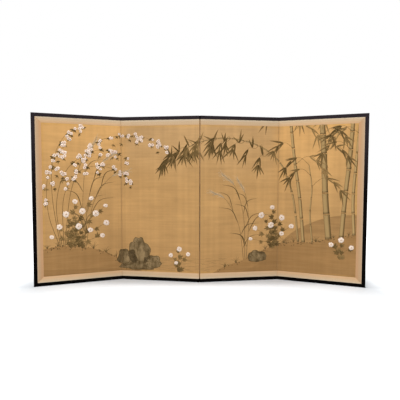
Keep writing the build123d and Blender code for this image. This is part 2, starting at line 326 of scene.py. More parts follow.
class Nodes:
    """Writes the node tree of a new material or world."""

    def __init__(self, owner):
        owner.use_nodes = True
        self.tree = owner.node_tree

    def feed(self, socket, value):
        if isinstance(value, Value):
            self.tree.links.new(value.socket, socket)
        else:
            socket.default_value = value

    def add(self, kind, inputs=(), output=0, **options):
        node = self.tree.nodes.new(kind)
        for key, option in options.items():
            setattr(node, key, option)
        for key, value in dict(inputs).items():
            self.feed(node.inputs[key], value)
        return Value(self, node.outputs[output])

    def math(self, operation, a, b=0.0, c=0.0):
        return self.add("ShaderNodeMath", {0: a, 1: b, 2: c}, operation=operation)

    def largest(self, first, *others):
        for other in others:
            first = self.math("MAXIMUM", first, other)
        return first

    def smallest(self, first, *others):
        for other in others:
            first = self.math("MINIMUM", first, other)
        return first

    def vector(self, operation, a, b=(0, 0, 0)):
        output = 1 if operation in ("LENGTH", "DOT_PRODUCT") else 0
        return self.add("ShaderNodeVectorMath", {0: a, 1: b}, output, operation=operation)

    def length(self, vector):
        return self.vector("LENGTH", vector)

    def split(self, vector):
        node = self.tree.nodes.new("ShaderNodeSeparateXYZ")
        self.feed(node.inputs[0], vector)
        return [Value(self, socket) for socket in node.outputs]

    def join(self, x, y, z=0.0):
        return self.add("ShaderNodeCombineXYZ", {0: x, 1: y, 2: z})

    def spread(self, value, low, high, to_low=0.0, to_high=1.0):
        """Eases a value from one range to another, and holds it there."""
        return self.add(
            "ShaderNodeMapRange",
            {"Value": value, "From Min": low, "From Max": high, "To Min": to_low, "To Max": to_high},
            interpolation_type="SMOOTHSTEP",
        )

    def mix(self, share, a, b):
        """Mixes two colours."""
        node = self.tree.nodes.new("ShaderNodeMix")
        node.data_type = "RGBA"
        self.feed(node.inputs["Factor"], share)
        for name, colour in (("A", a), ("B", b)):
            socket = next(s for s in node.inputs if s.name == name and s.type == "RGBA")
            self.feed(socket, opaque(colour))
        return Value(self, next(s for s in node.outputs if s.type == "RGBA"))

    def scaled(self, vector, *factors):
        """A place times numbers, or a colour made lighter or darker by numbers round 1."""
        for factor in factors:
            vector = self.add(
                "ShaderNodeVectorMath", {0: vector, "Scale": factor}, operation="SCALE"
            )
        return vector

    def noise(self, place, scale, detail=2.0, stretch=(1, 1, 1)):
        stretched = self.vector("MULTIPLY", place, stretch)
        return self.add(
            "ShaderNodeTexNoise", {"Vector": stretched, "Scale": scale, "Detail": detail}
        )

    def sway(self, value, amount):
        """Turns a value from 0 to 1 into a factor that strays from 1 by amount."""
        return self.math("MULTIPLY_ADD", value, 2 * amount, 1 - amount)

    def position(self):
        return self.add("ShaderNodeTexCoord", output=3)


class Material(Nodes):
    """A new material with one shader."""

    def __init__(self, name):
        self.material = bpy.data.materials.new(name)
        super().__init__(self.material)
        self.shader = self.tree.nodes["Principled BSDF"]

    def flat_place(self):
        """Where this point of a cloth or a stroke lies on the open painting."""
        return self.add("ShaderNodeAttribute", output=1, attribute_name="flat_place")

    def number(self, name):
        """A number that the mesh keeps at its points."""
        return self.add("ShaderNodeAttribute", output=2, attribute_name=name)

    def own_normal(self):
        """Direction of the surface in the piece's own place, whatever the pose."""
        return self.add("ShaderNodeTexCoord", output=1)

    def panel_place(self, face):
        """Place on a panel's plane: x along the panel and y up, in metres."""
        point = self.position()
        run = self.vector("DOT_PRODUCT", point, tuple(face.along))
        return self.join(run + face.start, self.split(point)[2])

    def bump(self, height, distance, strength):
        inputs = {"Strength": strength, "Distance": distance, "Height": height}
        self.feed(self.shader.inputs["Normal"], self.add("ShaderNodeBump", inputs))

    def finish(self, colour, roughness, **constants):
        """Colour and roughness may vary over the surface. Every other value is one number."""
        self.feed(self.shader.inputs["Base Color"], opaque(colour))
        self.feed(self.shader.inputs["Roughness"], roughness)
        for key, value in constants.items():
            self.shader.inputs[key.replace("_", " ")].default_value = value
        return self.material


# ---------------------------------------------------------------- objects


def add_object(name, data):
    """Puts a mesh, a lamp or a camera into the scene."""
    added = bpy.data.objects.new(name, data)
    bpy.context.collection.objects.link(added)
    return added


def give(dressed, material):
    """Makes a material the only one of an object."""
    dressed.data.materials.clear()
    dressed.data.materials.append(material)


def cover(material, *endings):
    """Gives a material to the CAD nodes whose names end in one of these."""
    for name, node in sorted(frame["nodes"].items()):
        if name.endswith(endings):
            give(node, material)


# ---------------------------------------------------------------- stage

SENSOR_WIDTH = 36.0
CLIP_RANGE = (0.1, 100.0)
WHITE = (1, 1, 1)

# Where the floor's glow starts and where it is full: away from the screen's middle, and along
# the screen past its ends
GLOW_AROUND = (0.85, 1.9)
GLOW_PAST_ENDS = (0.89, 1.15)


class Lamp(NamedTuple):
    """A soft rectangular lamp: where it hangs, what it points at, and its two sides."""

    name: str
    place: tuple
    target: tuple
    sides: tuple

    def light(self, power):
        data = bpy.data.lights.new(self.name, "AREA")
        data.shape = "RECTANGLE"
        data.size, data.size_y = self.sides
        data.energy = power
        lamp = add_object(self.name, data)
        lamp.location = self.place
        towards = Vector(self.target) - lamp.location
        lamp.rotation_euler = towards.to_track_quat("-Z", "Y").to_euler()


KEY_LAMP = Lamp("key_lamp", (-0.8, -3.4, 6.0), (0, 0, 0.4), (3.0, 2.0))
TOP_LAMP = Lamp("top_lamp", (0.0, 0.20, 2.6), (0, 0.20, 0), (2.1, 0.18))


def add_camera(stage):
    data = bpy.data.cameras.new("camera")
    data.sensor_width = SENSOR_WIDTH
    data.lens = stage.lens
    data.clip_start, data.clip_end = CLIP_RANGE
    camera = add_object("camera", data)
    turn = (
        Matrix.Rotation(stage.pan, 4, "Z")
        @ Matrix.Rotation(math.pi / 2 - stage.tilt, 4, "X")
        @ Matrix.Rotation(stage.roll, 4, "Z")
    )
    camera.matrix_world = Matrix.Translation(stage.eye) @ turn
    bpy.context.scene.camera = camera


def seen_directly(nodes):
    """1 for rays that show a background: from the camera, in a gloss or through glass."""
    kinds = ("Is Camera Ray", "Is Glossy Ray", "Is Transmission Ray")
    return nodes.largest(*[nodes.add("ShaderNodeLightPath", output=kind) for kind in kinds])


def light_sky(colour):
    """Soft light from all round, and plain white where the sky is seen directly."""
    sky = bpy.data.worlds.new("sky")
    bpy.context.scene.world = sky
    nodes = Nodes(sky)
    shown = nodes.mix(seen_directly(nodes), colour, WHITE)
    nodes.feed(nodes.tree.nodes["Background"].inputs["Color"], shown)


def floor_material(colour):
    """A pale matt floor. Far off and beyond the screen's ends it glows up to white where it is
    seen directly, so that it runs into the sky. Past the ends this glow is painted light that also
    lifts the screen's soft shadow; in front of the screen its shadows stay."""
    nodes = Material("pale_floor")
    nodes.finish(colour, 0.9, Specular_IOR_Level=0.0)
    place = nodes.position()
    far_off = nodes.spread(nodes.length(place), *GLOW_AROUND)
    past_ends = nodes.spread(abs(nodes.split(place)[0]), *GLOW_PAST_ENDS)
    strength = seen_directly(nodes) * nodes.largest(far_off, past_ends)
    glow = nodes.add("ShaderNodeEmission", {"Strength": strength})
    matt = Value(nodes, nodes.shader.outputs[0])
    both = nodes.add("ShaderNodeAddShader", {0: matt, 1: glow})
    nodes.feed(nodes.tree.nodes["Material Output"].inputs["Surface"], both)
    return nodes.material


class SCREEN_OT_stage(bpy.types.Operator):
    """Sets up the floor, the soft lamps and the camera"""

    bl_idname = "folding_screen.stage"
    bl_label = "Stage"

    def execute(self, context):
        stage = settings("screen_stage")
        context.scene.view_settings.view_transform = "Standard"
        half = stage.floor_size / 2
        mesh = bpy.data.meshes.new("floor")
        corners = [(-half, -half, 0), (half, -half, 0), (half, half, 0), (-half, half, 0)]
        mesh.from_pydata(corners, [], [(0, 1, 2, 3)])
        floor = add_object("floor", mesh)
        give(floor, floor_material(stage.floor_colour))
        light_sky(stage.sky_colour)
        KEY_LAMP.light(stage.key_power)
        TOP_LAMP.light(stage.top_power)
        add_camera(stage)
        return {"FINISHED"}


# ---------------------------------------------------------------- trim, core and papers

# The trim's end faces at a fold lie this close to its axis, and face along the trim by this much
FOLD_END_REACH = 20 * MM
FOLD_END_FACING = 0.7

# Strength of the fibres in the hinges' thick paper
HINGE_FIBRE = 0.18


def fold_end_share(nodes, place):
    """1 on the trim's ends at the folds, which are dull, and 0 on the rest of the trim."""
    x, y, _ = nodes.split(place)
    distances = []
    for joint in frame["joints"]:
        axis_x, axis_y, _ = joint["pos_m"]
        distances.append(nodes.length(nodes.join(x - axis_x, y - axis_y)))
    close = nodes.smallest(*distances) < FOLD_END_REACH
    facing_along = abs(nodes.split(nodes.own_normal())[0]) > FOLD_END_FACING
    return close * facing_along


def lacquer_material(timber):
    """Brushed black lacquer, with a painted sheen that grows hazily towards the top of the screen."""
    nodes = Material("black_lacquer")
    place = nodes.position()
    haze = nodes.noise(place, 9.0, 4.0)
    brushing = nodes.noise(place, 260.0, 2.0)
    fold_end = fold_end_share(nodes, place)
    # Painted sheen: the lacquer turns lighter towards the top, but not on the dull ends at the folds
    high = nodes.spread(nodes.split(place)[2], 0.45, 0.86)
    sheen_share = high * nodes.sway(haze, 0.3) * (1.0 - fold_end)
    colour = nodes.mix(sheen_share, timber.lacquer, timber.dust)
    roughness = nodes.largest(nodes.sway(haze, 0.22) * timber.roughness, fold_end * 0.95)
    nodes.bump(haze + brushing * 0.15, 0.12 * MM, 0.5)
    return nodes.finish(colour, roughness, Specular_IOR_Level=0.025)


def wood_material(name, colour, along, growth=140.0):
    """Straight-grained wood. The grain runs in the direction along."""
    nodes = Material(name)
    place = nodes.position()
    run = nodes.vector("DOT_PRODUCT", place, tuple(along))
    drawn_out = nodes.scaled(tuple(along), run * 0.95)
    squeezed = nodes.vector("SUBTRACT", place, drawn_out)
    grain = nodes.noise(squeezed, growth, 3.0)
    pores = nodes.noise(squeezed, growth * 9, 1.0)
    tone = nodes.mix(nodes.spread(grain, 0.35, 0.68), colour, toned(colour, 0.68))
    nodes.bump(grain + pores, 0.15 * MM, 0.4)
    return nodes.finish(nodes.scaled(tone, nodes.sway(pores, 0.10)), 0.72, Specular_IOR_Level=0.25)


def paper_material(name, colour, fibre=0.10, end_colour=None):
    """Handmade paper: cloudy, with long fibres. It may have another colour level with the trim."""
    nodes = Material(name)
    place = nodes.position()
    clouds = nodes.noise(place, 22.0, 4.0)
    fibres = nodes.noise(place, 420.0, 3.0, (1, 1, 0.18))
    tone = nodes.mix(clouds, colour, toned(colour, 0.82))
    tone = nodes.scaled(tone, nodes.sway(fibres, fibre))
    if end_colour:
        height = nodes.split(place)[2]
        border_foot = faces[0].foot - border_width()
        border_head = faces[0].foot + painting_height + border_width()
        at_trim = nodes.largest(height < border_foot, height > border_head)
        tone = nodes.mix(at_trim, tone, end_colour)
    nodes.bump(fibres, 0.10 * MM, 0.5)
    return nodes.finish(tone, nodes.spread(clouds, 0.3, 0.7, 0.82, 0.92), Specular_IOR_Level=0.15)


def wave_rings(nodes, place, radius):
    """Traditional overlapping waves: rows of discs, each in front of the row above it. Gives the
    distance from the middle of the disc that shows, as a share of its radius."""
    x, y, _ = nodes.split(nodes.scaled(place, 1 / radius))
    row = nodes.math("FLOOR", y * 2.0)
    distances = []
    for step in (-1.0, 0.0, 1.0):
        this_row = row + step
        run = (x + this_row) % 2.0 - 1.0
        distances.append(nodes.length(nodes.join(run, y - this_row * 0.5)))
    shown = distances[2]
    for nearer in (distances[1], distances[0]):
        inside = nearer < 1.0
        shown = nearer * inside + shown * (1.0 - inside)
    return shown


def backing_material(face, paper):
    """Brown paper block-printed with waves, pasted on in sheets that overlap a little."""
    nodes = Material(f"{face.body}_backing_paper")
    place = nodes.panel_place(face)
    ring = nodes.math("PINGPONG", wave_rings(nodes, place, paper.wave) * 4.0, 0.5)
    wear = nodes.noise(place, 60.0, 4.0)
    line = nodes.spread(ring + wear * 0.16, 0.20, 0.32, 0.85, 0.0)
    clouds = nodes.noise(place, 7.0, 4.0)
    fibres = nodes.noise(place, 500.0, 2.0, (0.25, 1, 1))
    up_the_sheet = nodes.split(place)[1] % paper.leaf
    overlap = nodes.spread(up_the_sheet, 5.5 * MM, 6.5 * MM, 0.90, 1.0)
    tone = nodes.mix(line, paper.backing, paper.print_colour)
    tone = nodes.scaled(tone, nodes.sway(clouds, 0.12), nodes.sway(fibres, 0.06), overlap)
    nodes.bump(fibres * 0.5 - line * 0.3, 0.08 * MM, 0.6)
    return nodes.finish(tone, nodes.spread(clouds, 0.3, 0.7, 0.74, 0.88), Specular_IOR_Level=0.2)


class SCREEN_OT_trim(bpy.types.Operator):
    """Lacquers the trim"""

    bl_idname = "folding_screen.trim"
    bl_label = "Lacquered Trim"

    def execute(self, context):
        cover(lacquer_material(settings("screen_timber")), "_trim")
        return {"FINISHED"}


class SCREEN_OT_core(bpy.types.Operator):
    """Gives the core, its laths, the pegs and the tongues their bare wood"""

    bl_idname = "folding_screen.core"
    bl_label = "Wooden Core"

    def execute(self, context):
        timber = settings("screen_timber")
        upright = wood_material("upright_cedar", timber.cedar, UP)
        cover(upright, "_core_stiles", "_upright_laths", "_corner_tongues")
        cover(wood_material("split_bamboo", timber.bamboo, UP, 700.0), "_trim_pegs")
        for face in faces:
            level = wood_material(f"{face.body}_level_cedar", timber.cedar, face.along)
            cover(level, f"{face.body}_core_rails", f"{face.body}_cross_laths")
        return {"FINISHED"}


class SCREEN_OT_papers(bpy.types.Operator):
    """Papers the panels: linings, hinge leaves and the printed backing"""

    bl_idname = "folding_screen.papers"
    bl_label = "Papers"

    def execute(self, context):
        paper = settings("screen_paper")
        cover(paper_material("lining_paper", paper.lining), "_lining")
        # The centre fold's hinge leaves take the lighter copy of the hinge paper, which is painted
        # light
        for ending, colour in (
            ("_leaves", paper.hinge),
            ("_centre_hinge_leaves", paper.ridge_hinge),
        ):
            cover(paper_material(f"hinge_paper{ending}", colour, HINGE_FIBRE), ending)
        for face in faces:
            cover(backing_material(face, paper), f"{face.body}_back_cover")
        return {"FINISHED"}


# ---------------------------------------------------------------- thin closed sheets

# Mesh lines of a sheet: inward from a hem, and to each side of a crease
HEM_LINES = (0.0, 0.35 * MM, 1.0 * MM)
CREASE_LINES = (-1.2 * MM, -0.4 * MM, 0.4 * MM, 1.2 * MM)


def stops(length, step, creases=()):
    """Places of a sheet's mesh lines from 0 to length: close together at both hems and at each
    crease, and about a step apart between."""
    inner = length - 2 * HEM_LINES[-1]
    count = max(2, round(inner / step))
    middle = [HEM_LINES[-1] + inner * i / count for i in range(1, count)]
    close = [crease + side for crease in creases for side in CREASE_LINES]
    middle = [m for m in middle if all(abs(m - c) > 2 * MM for c in close)]
    return sorted([*HEM_LINES, *middle, *close, *[length - h for h in HEM_LINES]])


def sheet_object(name, columns, rows, top, under, values=()):
    """Closed thin mesh between two grids of points, top(c, r) and under(c, r). values holds
    functions of c and r by name: numbers or vectors that the materials read."""
    across, up = len(columns), len(rows)
    grid = [(c, r) for r in rows for c in columns]
    points = [top(c, r) for c, r in grid] + [under(c, r) for c, r in grid]

    def index(level, i, j):
        return (level * up + i) * across + j

    cells = [(i, j) for i in range(up - 1) for j in range(across - 1)]
    tops = [(index(0, i, j), index(0, i, j + 1), index(0, i + 1, j + 1), index(0, i + 1, j))
            for i, j in cells]
    unders = [(index(1, i, j), index(1, i + 1, j), index(1, i + 1, j + 1), index(1, i, j + 1))
              for i, j in cells]
    rim = [(0, j) for j in range(across)] + [(i, across - 1) for i in range(1, up)]
    rim += [(up - 1, j) for j in range(across - 2, -1, -1)] + [(i, 0) for i in range(up - 2, 0, -1)]
    walls = [(index(1, *a), index(1, *b), index(0, *b), index(0, *a))
             for a, b in zip(rim, rim[1:] + rim[:1])]
    mesh = bpy.data.meshes.new(name)
    mesh.from_pydata(points, [], tops + unders + walls)
    for key, value in dict(values).items():
        found = [value(c, r) for c, r in grid] * 2
        is_vector = isinstance(found[0], Vector)
        layer = mesh.attributes.new(key, "FLOAT_VECTOR" if is_vector else "FLOAT", "POINT")
        if is_vector:
            layer.data.foreach_set("vector", [n for v in found for n in v])
        else:
            layer.data.foreach_set("value", found)
    sides = len(mesh.polygons) - len(tops)
    mesh.polygons.foreach_set("use_smooth", [True] * len(tops) + [False] * sides)
    work = bmesh.new()
    work.from_mesh(mesh)
    bmesh.ops.recalc_face_normals(work, faces=work.faces)
    work.to_mesh(mesh)
    work.free()
    return add_object(name, mesh)


def hem_drop(distance):
    """How far a pasted cloth's face falls away within a millimetre of its cut edge."""
    share = min(1.0, max(0.0, distance / MM))
    return HEM_DEPTH * (1 - share) ** 2


def ripple(x, y, height):
    """Slight waviness of pasted cloth."""
    return height * noise.noise(Vector((x * 9, y * 9, 3.7)))


def part_way(low, high, share):
    """A number or a vector between two others."""
    return low + (high - low) * share


def paste_cloth(sheet, face, node):
    """Fixes a cloth to its panel in place of the CAD node, which it hides."""
    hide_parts(f"{face.body}_{node}")
    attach(sheet, face.body)


# ---------------------------------------------------------------- painted silk

# Ridges of the painted banks, from left to right, in millimetres on the open painting
NEAR_RIDGE = [
    (-60, 132), (60, 158), (170, 156), (290, 128), (400, 78), (500, 24), (590, -30), (700, -80),
    (820, -80), (900, -24), (990, 30), (1110, 70), (1240, 128), (1370, 168), (1500, 176),
    (1640, 214), (1790, 236),
]
FAR_RIDGE = [
    (-60, 40), (400, 10), (800, -60), (1150, 20), (1290, 128), (1390, 224), (1500, 286),
    (1610, 322), (1720, 334), (1830, 330),
]


def line_through(points, count):
    """Smooth line through given points, as count places."""
    points = [Vector(p) for p in points]
    padded = [points[0] * 2 - points[1], *points, points[-1] * 2 - points[-2]]
    line = []
    for i in range(count):
        run = i / (count - 1) * (len(points) - 1)
        k = min(int(run), len(points) - 2)
        before, a, b, after = padded[k:k + 4]
        t = run - k
        line.append(
            0.5 * (
                2 * a + (b - before) * t
                + (2 * before - 5 * a + 4 * b - after) * t ** 2
                + (3 * a - 3 * b + after - before) * t ** 3
            )
        )
    return line


def ridge_function(points):
    """Height of a ridge in metres at a place along the painting in metres."""
    line = line_through(points, 40 * len(points))

    def height(x):
        along = x / MM
        for a, b in zip(line, line[1:]):
            if a.x <= along <= b.x:
                return (a.y + (b.y - a.y) * (along - a.x) / (b.x - a.x)) * MM
        return (line[0] if along < line[0].x else line[-1]).y * MM

    return height


near_ridge = ridge_function(NEAR_RIDGE)
far_ridge = ridge_function(FAR_RIDGE)

# Painted shade: the silk is darker beside the folds, apart from the fold this close to the painting's
# middle
UNSHADED_MIDDLE = 0.2


def silk_material(silk):
    """Aged silk: golden above and browner below, partly its own tone and partly painted light from
    above, with weft streaks and washes of earth.
    """
    nodes = Material("painted_silk")
    place = nodes.flat_place()
    x, y, _ = nodes.split(place)
    clouds = nodes.noise(place, 4.5, 4.0)
    streaks = nodes.noise(place, 1.0, 3.0, (5, 620, 1))
    drifts = nodes.noise(place, 1.0, 3.0, (4.5, 70, 1))
    bands = nodes.noise(place, 1.0, 3.0, (30, 0.7, 1))
    mist = nodes.noise(place, 1.0, 3.0, (6, 18, 1))
    slubs = nodes.spread(nodes.noise(place, 1.0, 1.0, (9, 130, 1)), 0.58, 0.74, 1.0, 0.965)
    stains = nodes.spread(nodes.noise(place, 16.0, 5.0), 0.60, 0.74, 1.0, 0.95)

    # Partly painted light: the ground runs from a browner foot to a golden top, lightest at the top of
    # the outer panels, partly the silk's own tone and partly the light from above
    height = y / painting_height + (clouds - 0.5) * 0.24
    from_middle = abs(x - painting_width / 2)
    outer = nodes.spread(from_middle + clouds * 0.05, 0.40, 0.50)
    top = nodes.mix(outer, silk.inner_top, silk.top)
    ground = nodes.mix(nodes.spread(height, 0.02, 0.50), silk.foot, silk.middle)
    ground = nodes.mix(nodes.spread(height, 0.52, 1.0), ground, top)
    from_border = nodes.smallest(y, painting_height - y, painting_width / 2 - from_middle)
    ground = nodes.mix(nodes.spread(from_border, 0.0, 18 * MM, 0.5, 0.0), ground, silk.hem)
    ground = nodes.scaled(ground, nodes.sway(clouds, 0.16))

    dry_brush = nodes.spread(nodes.noise(place, 1.0, 3.0, (5, 80, 1)), 0.38, 0.66, 1.0, 0.68)
    uneven = (mist - 0.5) * (3 * MM)
    for bank, wash, strong_to, weak_from, strength in (
        ("far_bank", silk.haze, 10 * MM, 190 * MM, 0.94),
        ("near_bank", silk.earth, 40 * MM, 300 * MM, 0.95),
    ):
        below = nodes.number(bank) + uneven
        edge = nodes.spread(below, -1.0 * MM, 2.0 * MM)
        depth = nodes.spread(below, strong_to, weak_from, strength, strength * 0.5)
        ground = nodes.mix(edge * depth * dry_brush, ground, wash)

    from_fold = nodes.number("from_fold")
    # Painted shade: a faint dark line along the edge of the hinge flap under the silk
    crease = nodes.spread(abs(from_fold - HINGE_FLAP), 0.2 * MM, 1.8 * MM, 0.95, 1.0)
    # Painted shade: darker within 9 mm of a fold, but not beside the centre fold
    beside_fold = nodes.spread(from_fold, 0.0, 9 * MM, 0.87, 1.0)
    fold_shade = nodes.largest(beside_fold, from_middle < UNSHADED_MIDDLE)
    colour = nodes.scaled(
        ground, nodes.sway(streaks, 0.07), nodes.sway(drifts, 0.13), nodes.sway(bands, 0.16),
        nodes.sway(mist, 0.16), slubs, stains, crease, fold_shade,
    )
    warp = nodes.noise(place, 1.0, 1.0, (2600, 60, 1))
    weft = nodes.noise(place, 1.0, 1.0, (60, 2200, 1))
    nodes.bump(warp + weft + streaks, 0.05 * MM, 0.5)
    return nodes.finish(colour, nodes.spread(streaks, 0.3, 0.7, 0.50, 0.62),
                        Specular_IOR_Level=0.10, Sheen_Weight=0.04, Sheen_Roughness=0.4)


class SCREEN_OT_silk(bpy.types.Operator):
    """Lays a sheet of painted silk on each panel"""

    bl_idname = "folding_screen.silk"
    bl_label = "Painted Silk"

    def execute(self, context):
        silk = settings("screen_silk")
        material = silk_material(silk)
        for face in faces:
            self.lay(face, silk.cell, material)
        return {"FINISHED"}

    def lay(self, face, cell, material):
        flap_edges = [abs(HINGE_FLAP - (fold - face.start)) for fold in face.folds]

        def from_fold(c, r):
            return min(abs(face.start + c - fold) for fold in face.folds)

        def top(c, r):
            x = face.start + c
            hem = min(c, face.width - c, r, face.height - r)
            step = FLAP_STEP if from_fold(c, r) < HINGE_FLAP else 0.0
            return face.place(x, r, ripple(x, r, SILK_RIPPLE) + step - hem_drop(hem))

        sheet = sheet_object(
            f"{face.body}_silk", stops(face.width, cell, flap_edges), stops(face.height, cell), top,
            lambda c, r: face.place(face.start + c, r, -SILK_THICKNESS),
            {
                "flat_place": lambda c, r: Vector((face.start + c, r, 0)),
                "from_fold": from_fold,
                "near_bank": lambda c, r: near_ridge(face.start + c) - r,
                "far_bank": lambda c, r: far_ridge(face.start + c) - r,
            },
        )
        give(sheet, material)
        paste_cloth(sheet, face, "painted_silk")


# ---------------------------------------------------------------- brocade border


def ring_figure(nodes, place, repeat):
    """Traditional linked rings: 1 on the rings and on the small lozenge between them."""
    x, y, _ = nodes.split(nodes.vector("FRACTION", nodes.scaled(place, 1 / repeat)))
    half_x, half_y = abs(x - 0.5), abs(y - 0.5)
    radius = math.sqrt(0.5)
    lines = [abs(nodes.length(nodes.join(a + 0.5, 0.5 - b)) - radius)
             for a, b in ((half_x, half_y), (half_y, half_x))]
    ring = nodes.spread(nodes.smallest(*lines), 0.035, 0.075, 1.0, 0.0)
    lozenge = nodes.spread(half_x + half_y, 0.09, 0.14, 1.0, 0.0)
    return nodes.largest(ring, lozenge)


def brocade_material(name, brocade, tint, foot_level, width):
    """Pale figured weave, paler along the trim and browner along the silk. foot_level says
    how much lighter or darker it is painted at the foot than at the top, for the light that reaches the
    foot."""
    nodes = Material(name)
    place = nodes.flat_place()
    figure = ring_figure(nodes, place, brocade.repeat)
    threads = nodes.noise(place, 1.0, 2.0, (420, 1700, 1))
    clouds = nodes.noise(place, 9.0, 4.0)
    from_trim = nodes.number("from_trim") + clouds * (6 * MM)
    share = figure * nodes.spread(threads, 0.25, 0.6, 0.45, 0.95)
    weave = nodes.mix(share, brocade.ground, brocade.figure)
    # Paler weave up to 17 mm from the trim
    faded = nodes.spread(from_trim, 7 * MM, 17 * MM, 0.9, 0.0)
    weave = nodes.mix(faded, weave, brocade.faded)
    worn = nodes.spread(from_trim, width - 8 * MM, width + 4 * MM, 0.0, 0.9)
    weave = nodes.mix(worn, weave, brocade.worn)
    # Painted light: the strips are lighter or darker towards the foot, for the light that reaches them
    # there
    height = nodes.split(place)[1]
    level = nodes.spread(height, -width, painting_height + width, foot_level, 1.0)
    colour = nodes.scaled(
        nodes.vector("MULTIPLY", weave, tuple(tint)), nodes.sway(threads, 0.07),
        nodes.sway(clouds, 0.08), level,
    )
    nodes.bump(threads + figure * 0.6, 0.10 * MM, 0.6)
    return nodes.finish(colour, nodes.spread(figure, 0.0, 1.0, 0.70, 0.52),
                        Specular_IOR_Level=0.2, Sheen_Weight=0.1, Sheen_Roughness=0.4)


class Strip(NamedTuple):
    """A brocade strip as four flat corners, anticlockwise from the lower left, and the side
    that lies along the trim."""

    name: str
    corners: list
    trim_side: str


def border_strips(face, width):
    """The strips of one panel, mitred where a side strip meets the level ones."""
    start, end, high = face.start, face.end, painting_height
    left = start - (width if face.body == "panel_1" else 0)
    right = end + (width if face.body == "panel_4" else 0)
    low_left, low_right = (left, -width), (right, -width)
    high_left, high_right = (left, high + width), (right, high + width)
    below, above = -PASTE_GAP, high + PASTE_GAP
    strips = [
        Strip("bottom", [low_left, low_right, (end, below), (start, below)], "low"),
        Strip("top", [(start, above), (end, above), high_right, high_left], "high"),
    ]
    if face.body == "panel_1":
        edge = -PASTE_GAP
        strips.append(Strip("side", [low_left, (edge, 0), (edge, high), high_left], "left"))
    if face.body == "panel_4":
        edge = end + PASTE_GAP
        strips.append(Strip("side", [(edge, 0), low_right, high_right, (edge, high)], "right"))
    return strips


class SCREEN_OT_brocade(bpy.types.Operator):
    """Lays the brocade strips of the border"""

    bl_idname = "folding_screen.brocade"
    bl_label = "Brocade Border"

    def execute(self, context):
        brocade = settings("screen_brocade")
        width = border_width()
        # Painted light at the foot: the level strips lighter, the side strips darker
        level = brocade_material("level_brocade", brocade, WHITE, 1.06, width)
        upright = brocade_material("upright_brocade", brocade, brocade.side_tint, 0.94, width)
        cell = settings("screen_silk").cell / 2
        for face in faces:
            for strip in border_strips(face, width):
                self.lay(face, strip, width, cell, upright if strip.name == "side" else level)
        return {"FINISHED"}

    def lay(self, face, strip, width, cell, material):
        low_left, low_right, high_right, high_left = [Vector(c) for c in strip.corners]
        wide = max((low_right - low_left).length, (high_right - high_left).length)
        tall = max((high_left - low_left).length, (high_right - low_right).length)

        def flat(c, r):
            low = part_way(low_left, low_right, c / wide)
            high = part_way(high_left, high_right, c / wide)
            return part_way(low, high, r / tall)

        def from_trim(c, r):
            return {"low": r, "high": tall - r, "left": c, "right": wide - c}[strip.trim_side]

        def top(c, r):
            hem = min(c, wide - c, r, tall - r)
            x, y = flat(c, r)
            return face.place(x, y, BROCADE_STEP + ripple(x, y, BROCADE_RIPPLE) - hem_drop(hem))

        sheet = sheet_object(
            f"{face.body}_border_{strip.name}", stops(wide, cell), stops(tall, cell), top,
            lambda c, r: face.place(*flat(c, r), -SILK_THICKNESS),
            {"flat_place": lambda c, r: flat(c, r).to_3d(), "from_trim": from_trim},
        )
        give(sheet, material)
        paste_cloth(sheet, face, "brocade_border")


# ---------------------------------------------------------------- hinges

# A bending band's mesh: steps across the fold, and the height of one cell of its papers
BEND_STEPS = 8
PAPER_CELL = 40 * MM


class Fold(NamedTuple):
    """A fold between two panels, with the axis that it turns about."""

    name: str
    left: Face
    right: Face
    axis: Vector

    @property
    def is_valley(self):
        return self.left.lift(self.axis) > 0

    def leaf_points(self, face):
        """Points of the hinge leaves that are pasted on one panel."""
        return node_points(f"{face.body}_{self.name}_leaves")

    @property
    def leaves(self):
        """Lowest and highest lift of the hinge's paper, below the silk's face."""
        lifts = [self.left.lift(p) for p in self.leaf_points(self.left)]
        return min(lifts), max(lifts)

    @property
    def bands(self):
        """Bottom and top of each hinge band."""
        heights = sorted({round(p.z, 5) for p in self.leaf_points(self.left)})
        return list(zip(heights[0::2], heights[1::2]))

    def between(self, share, lift, height):
        """Point of a paper that bends round the axis, from the left panel's edge to the right's."""
        heading = part_way(self.left.heading, self.right.heading, share)
        along = Vector((math.cos(heading), math.sin(heading), 0))
        forward = Vector((along.y, -along.x, 0))
        depth = lift - self.left.lift(self.axis)
        foot = Vector((self.axis.x, self.axis.y, 0))
        return foot + along * FOLD_GAP * (share - 0.5) + forward * depth + UP * height


def folds():
    """The three folds from left to right."""
    joints = sorted(frame["joints"], key=lambda joint: joint["pos_m"][0])
    return [
        Fold(joint["name"].replace("_fold", "_hinge"), left, right, Vector(joint["pos_m"]))
        for joint, left, right in zip(joints, faces, faces[1:])
    ]


def turning_bands(fold, material):
    """The free part of each paper band, which curves round the axis from one panel to the other. The
    lowest and the highest run on between the ends of the trim."""
    back, front = fold.leaves
    outer = front if fold.is_valley else back + HINGE_PAPER
    bend = [i / BEND_STEPS for i in range(BEND_STEPS + 1)]
    heights = [z for low, high in fold.bands for z in (low - BAND_REACH, high + BAND_REACH)]
    heights[0] = BAND_REACH
    heights[-1] = max(p.z for p in node_points(f"{fold.left.body}_top_trim")) - BAND_REACH
    bands = []
    for low, high in zip(heights[0::2], heights[1::2]):
        band = sheet_object(
            "band", bend, stops(high - low, PAPER_CELL),
            lambda c, r: fold.between(c, outer, low + r),
            lambda c, r: fold.between(c, outer - HINGE_PAPER, low + r),
        )
        bands.append(band)
    joined = join_pieces(bands, f"{fold.name}_bands")
    give(joined, material)
    ends = [fold.between(share, outer, 0.0) for share in (0.0, 1.0)]
    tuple(ends[0])
    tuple(ends[1])
    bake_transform(joined)


def join_pieces(pieces, name):
    """One mesh object out of several."""
    work = bmesh.new()
    for piece in pieces:
        work.from_mesh(piece.data)
        bpy.data.objects.remove(piece)
    mesh = bpy.data.meshes.new(name)
    work.to_mesh(mesh)
    work.free()
    return add_object(name, mesh)


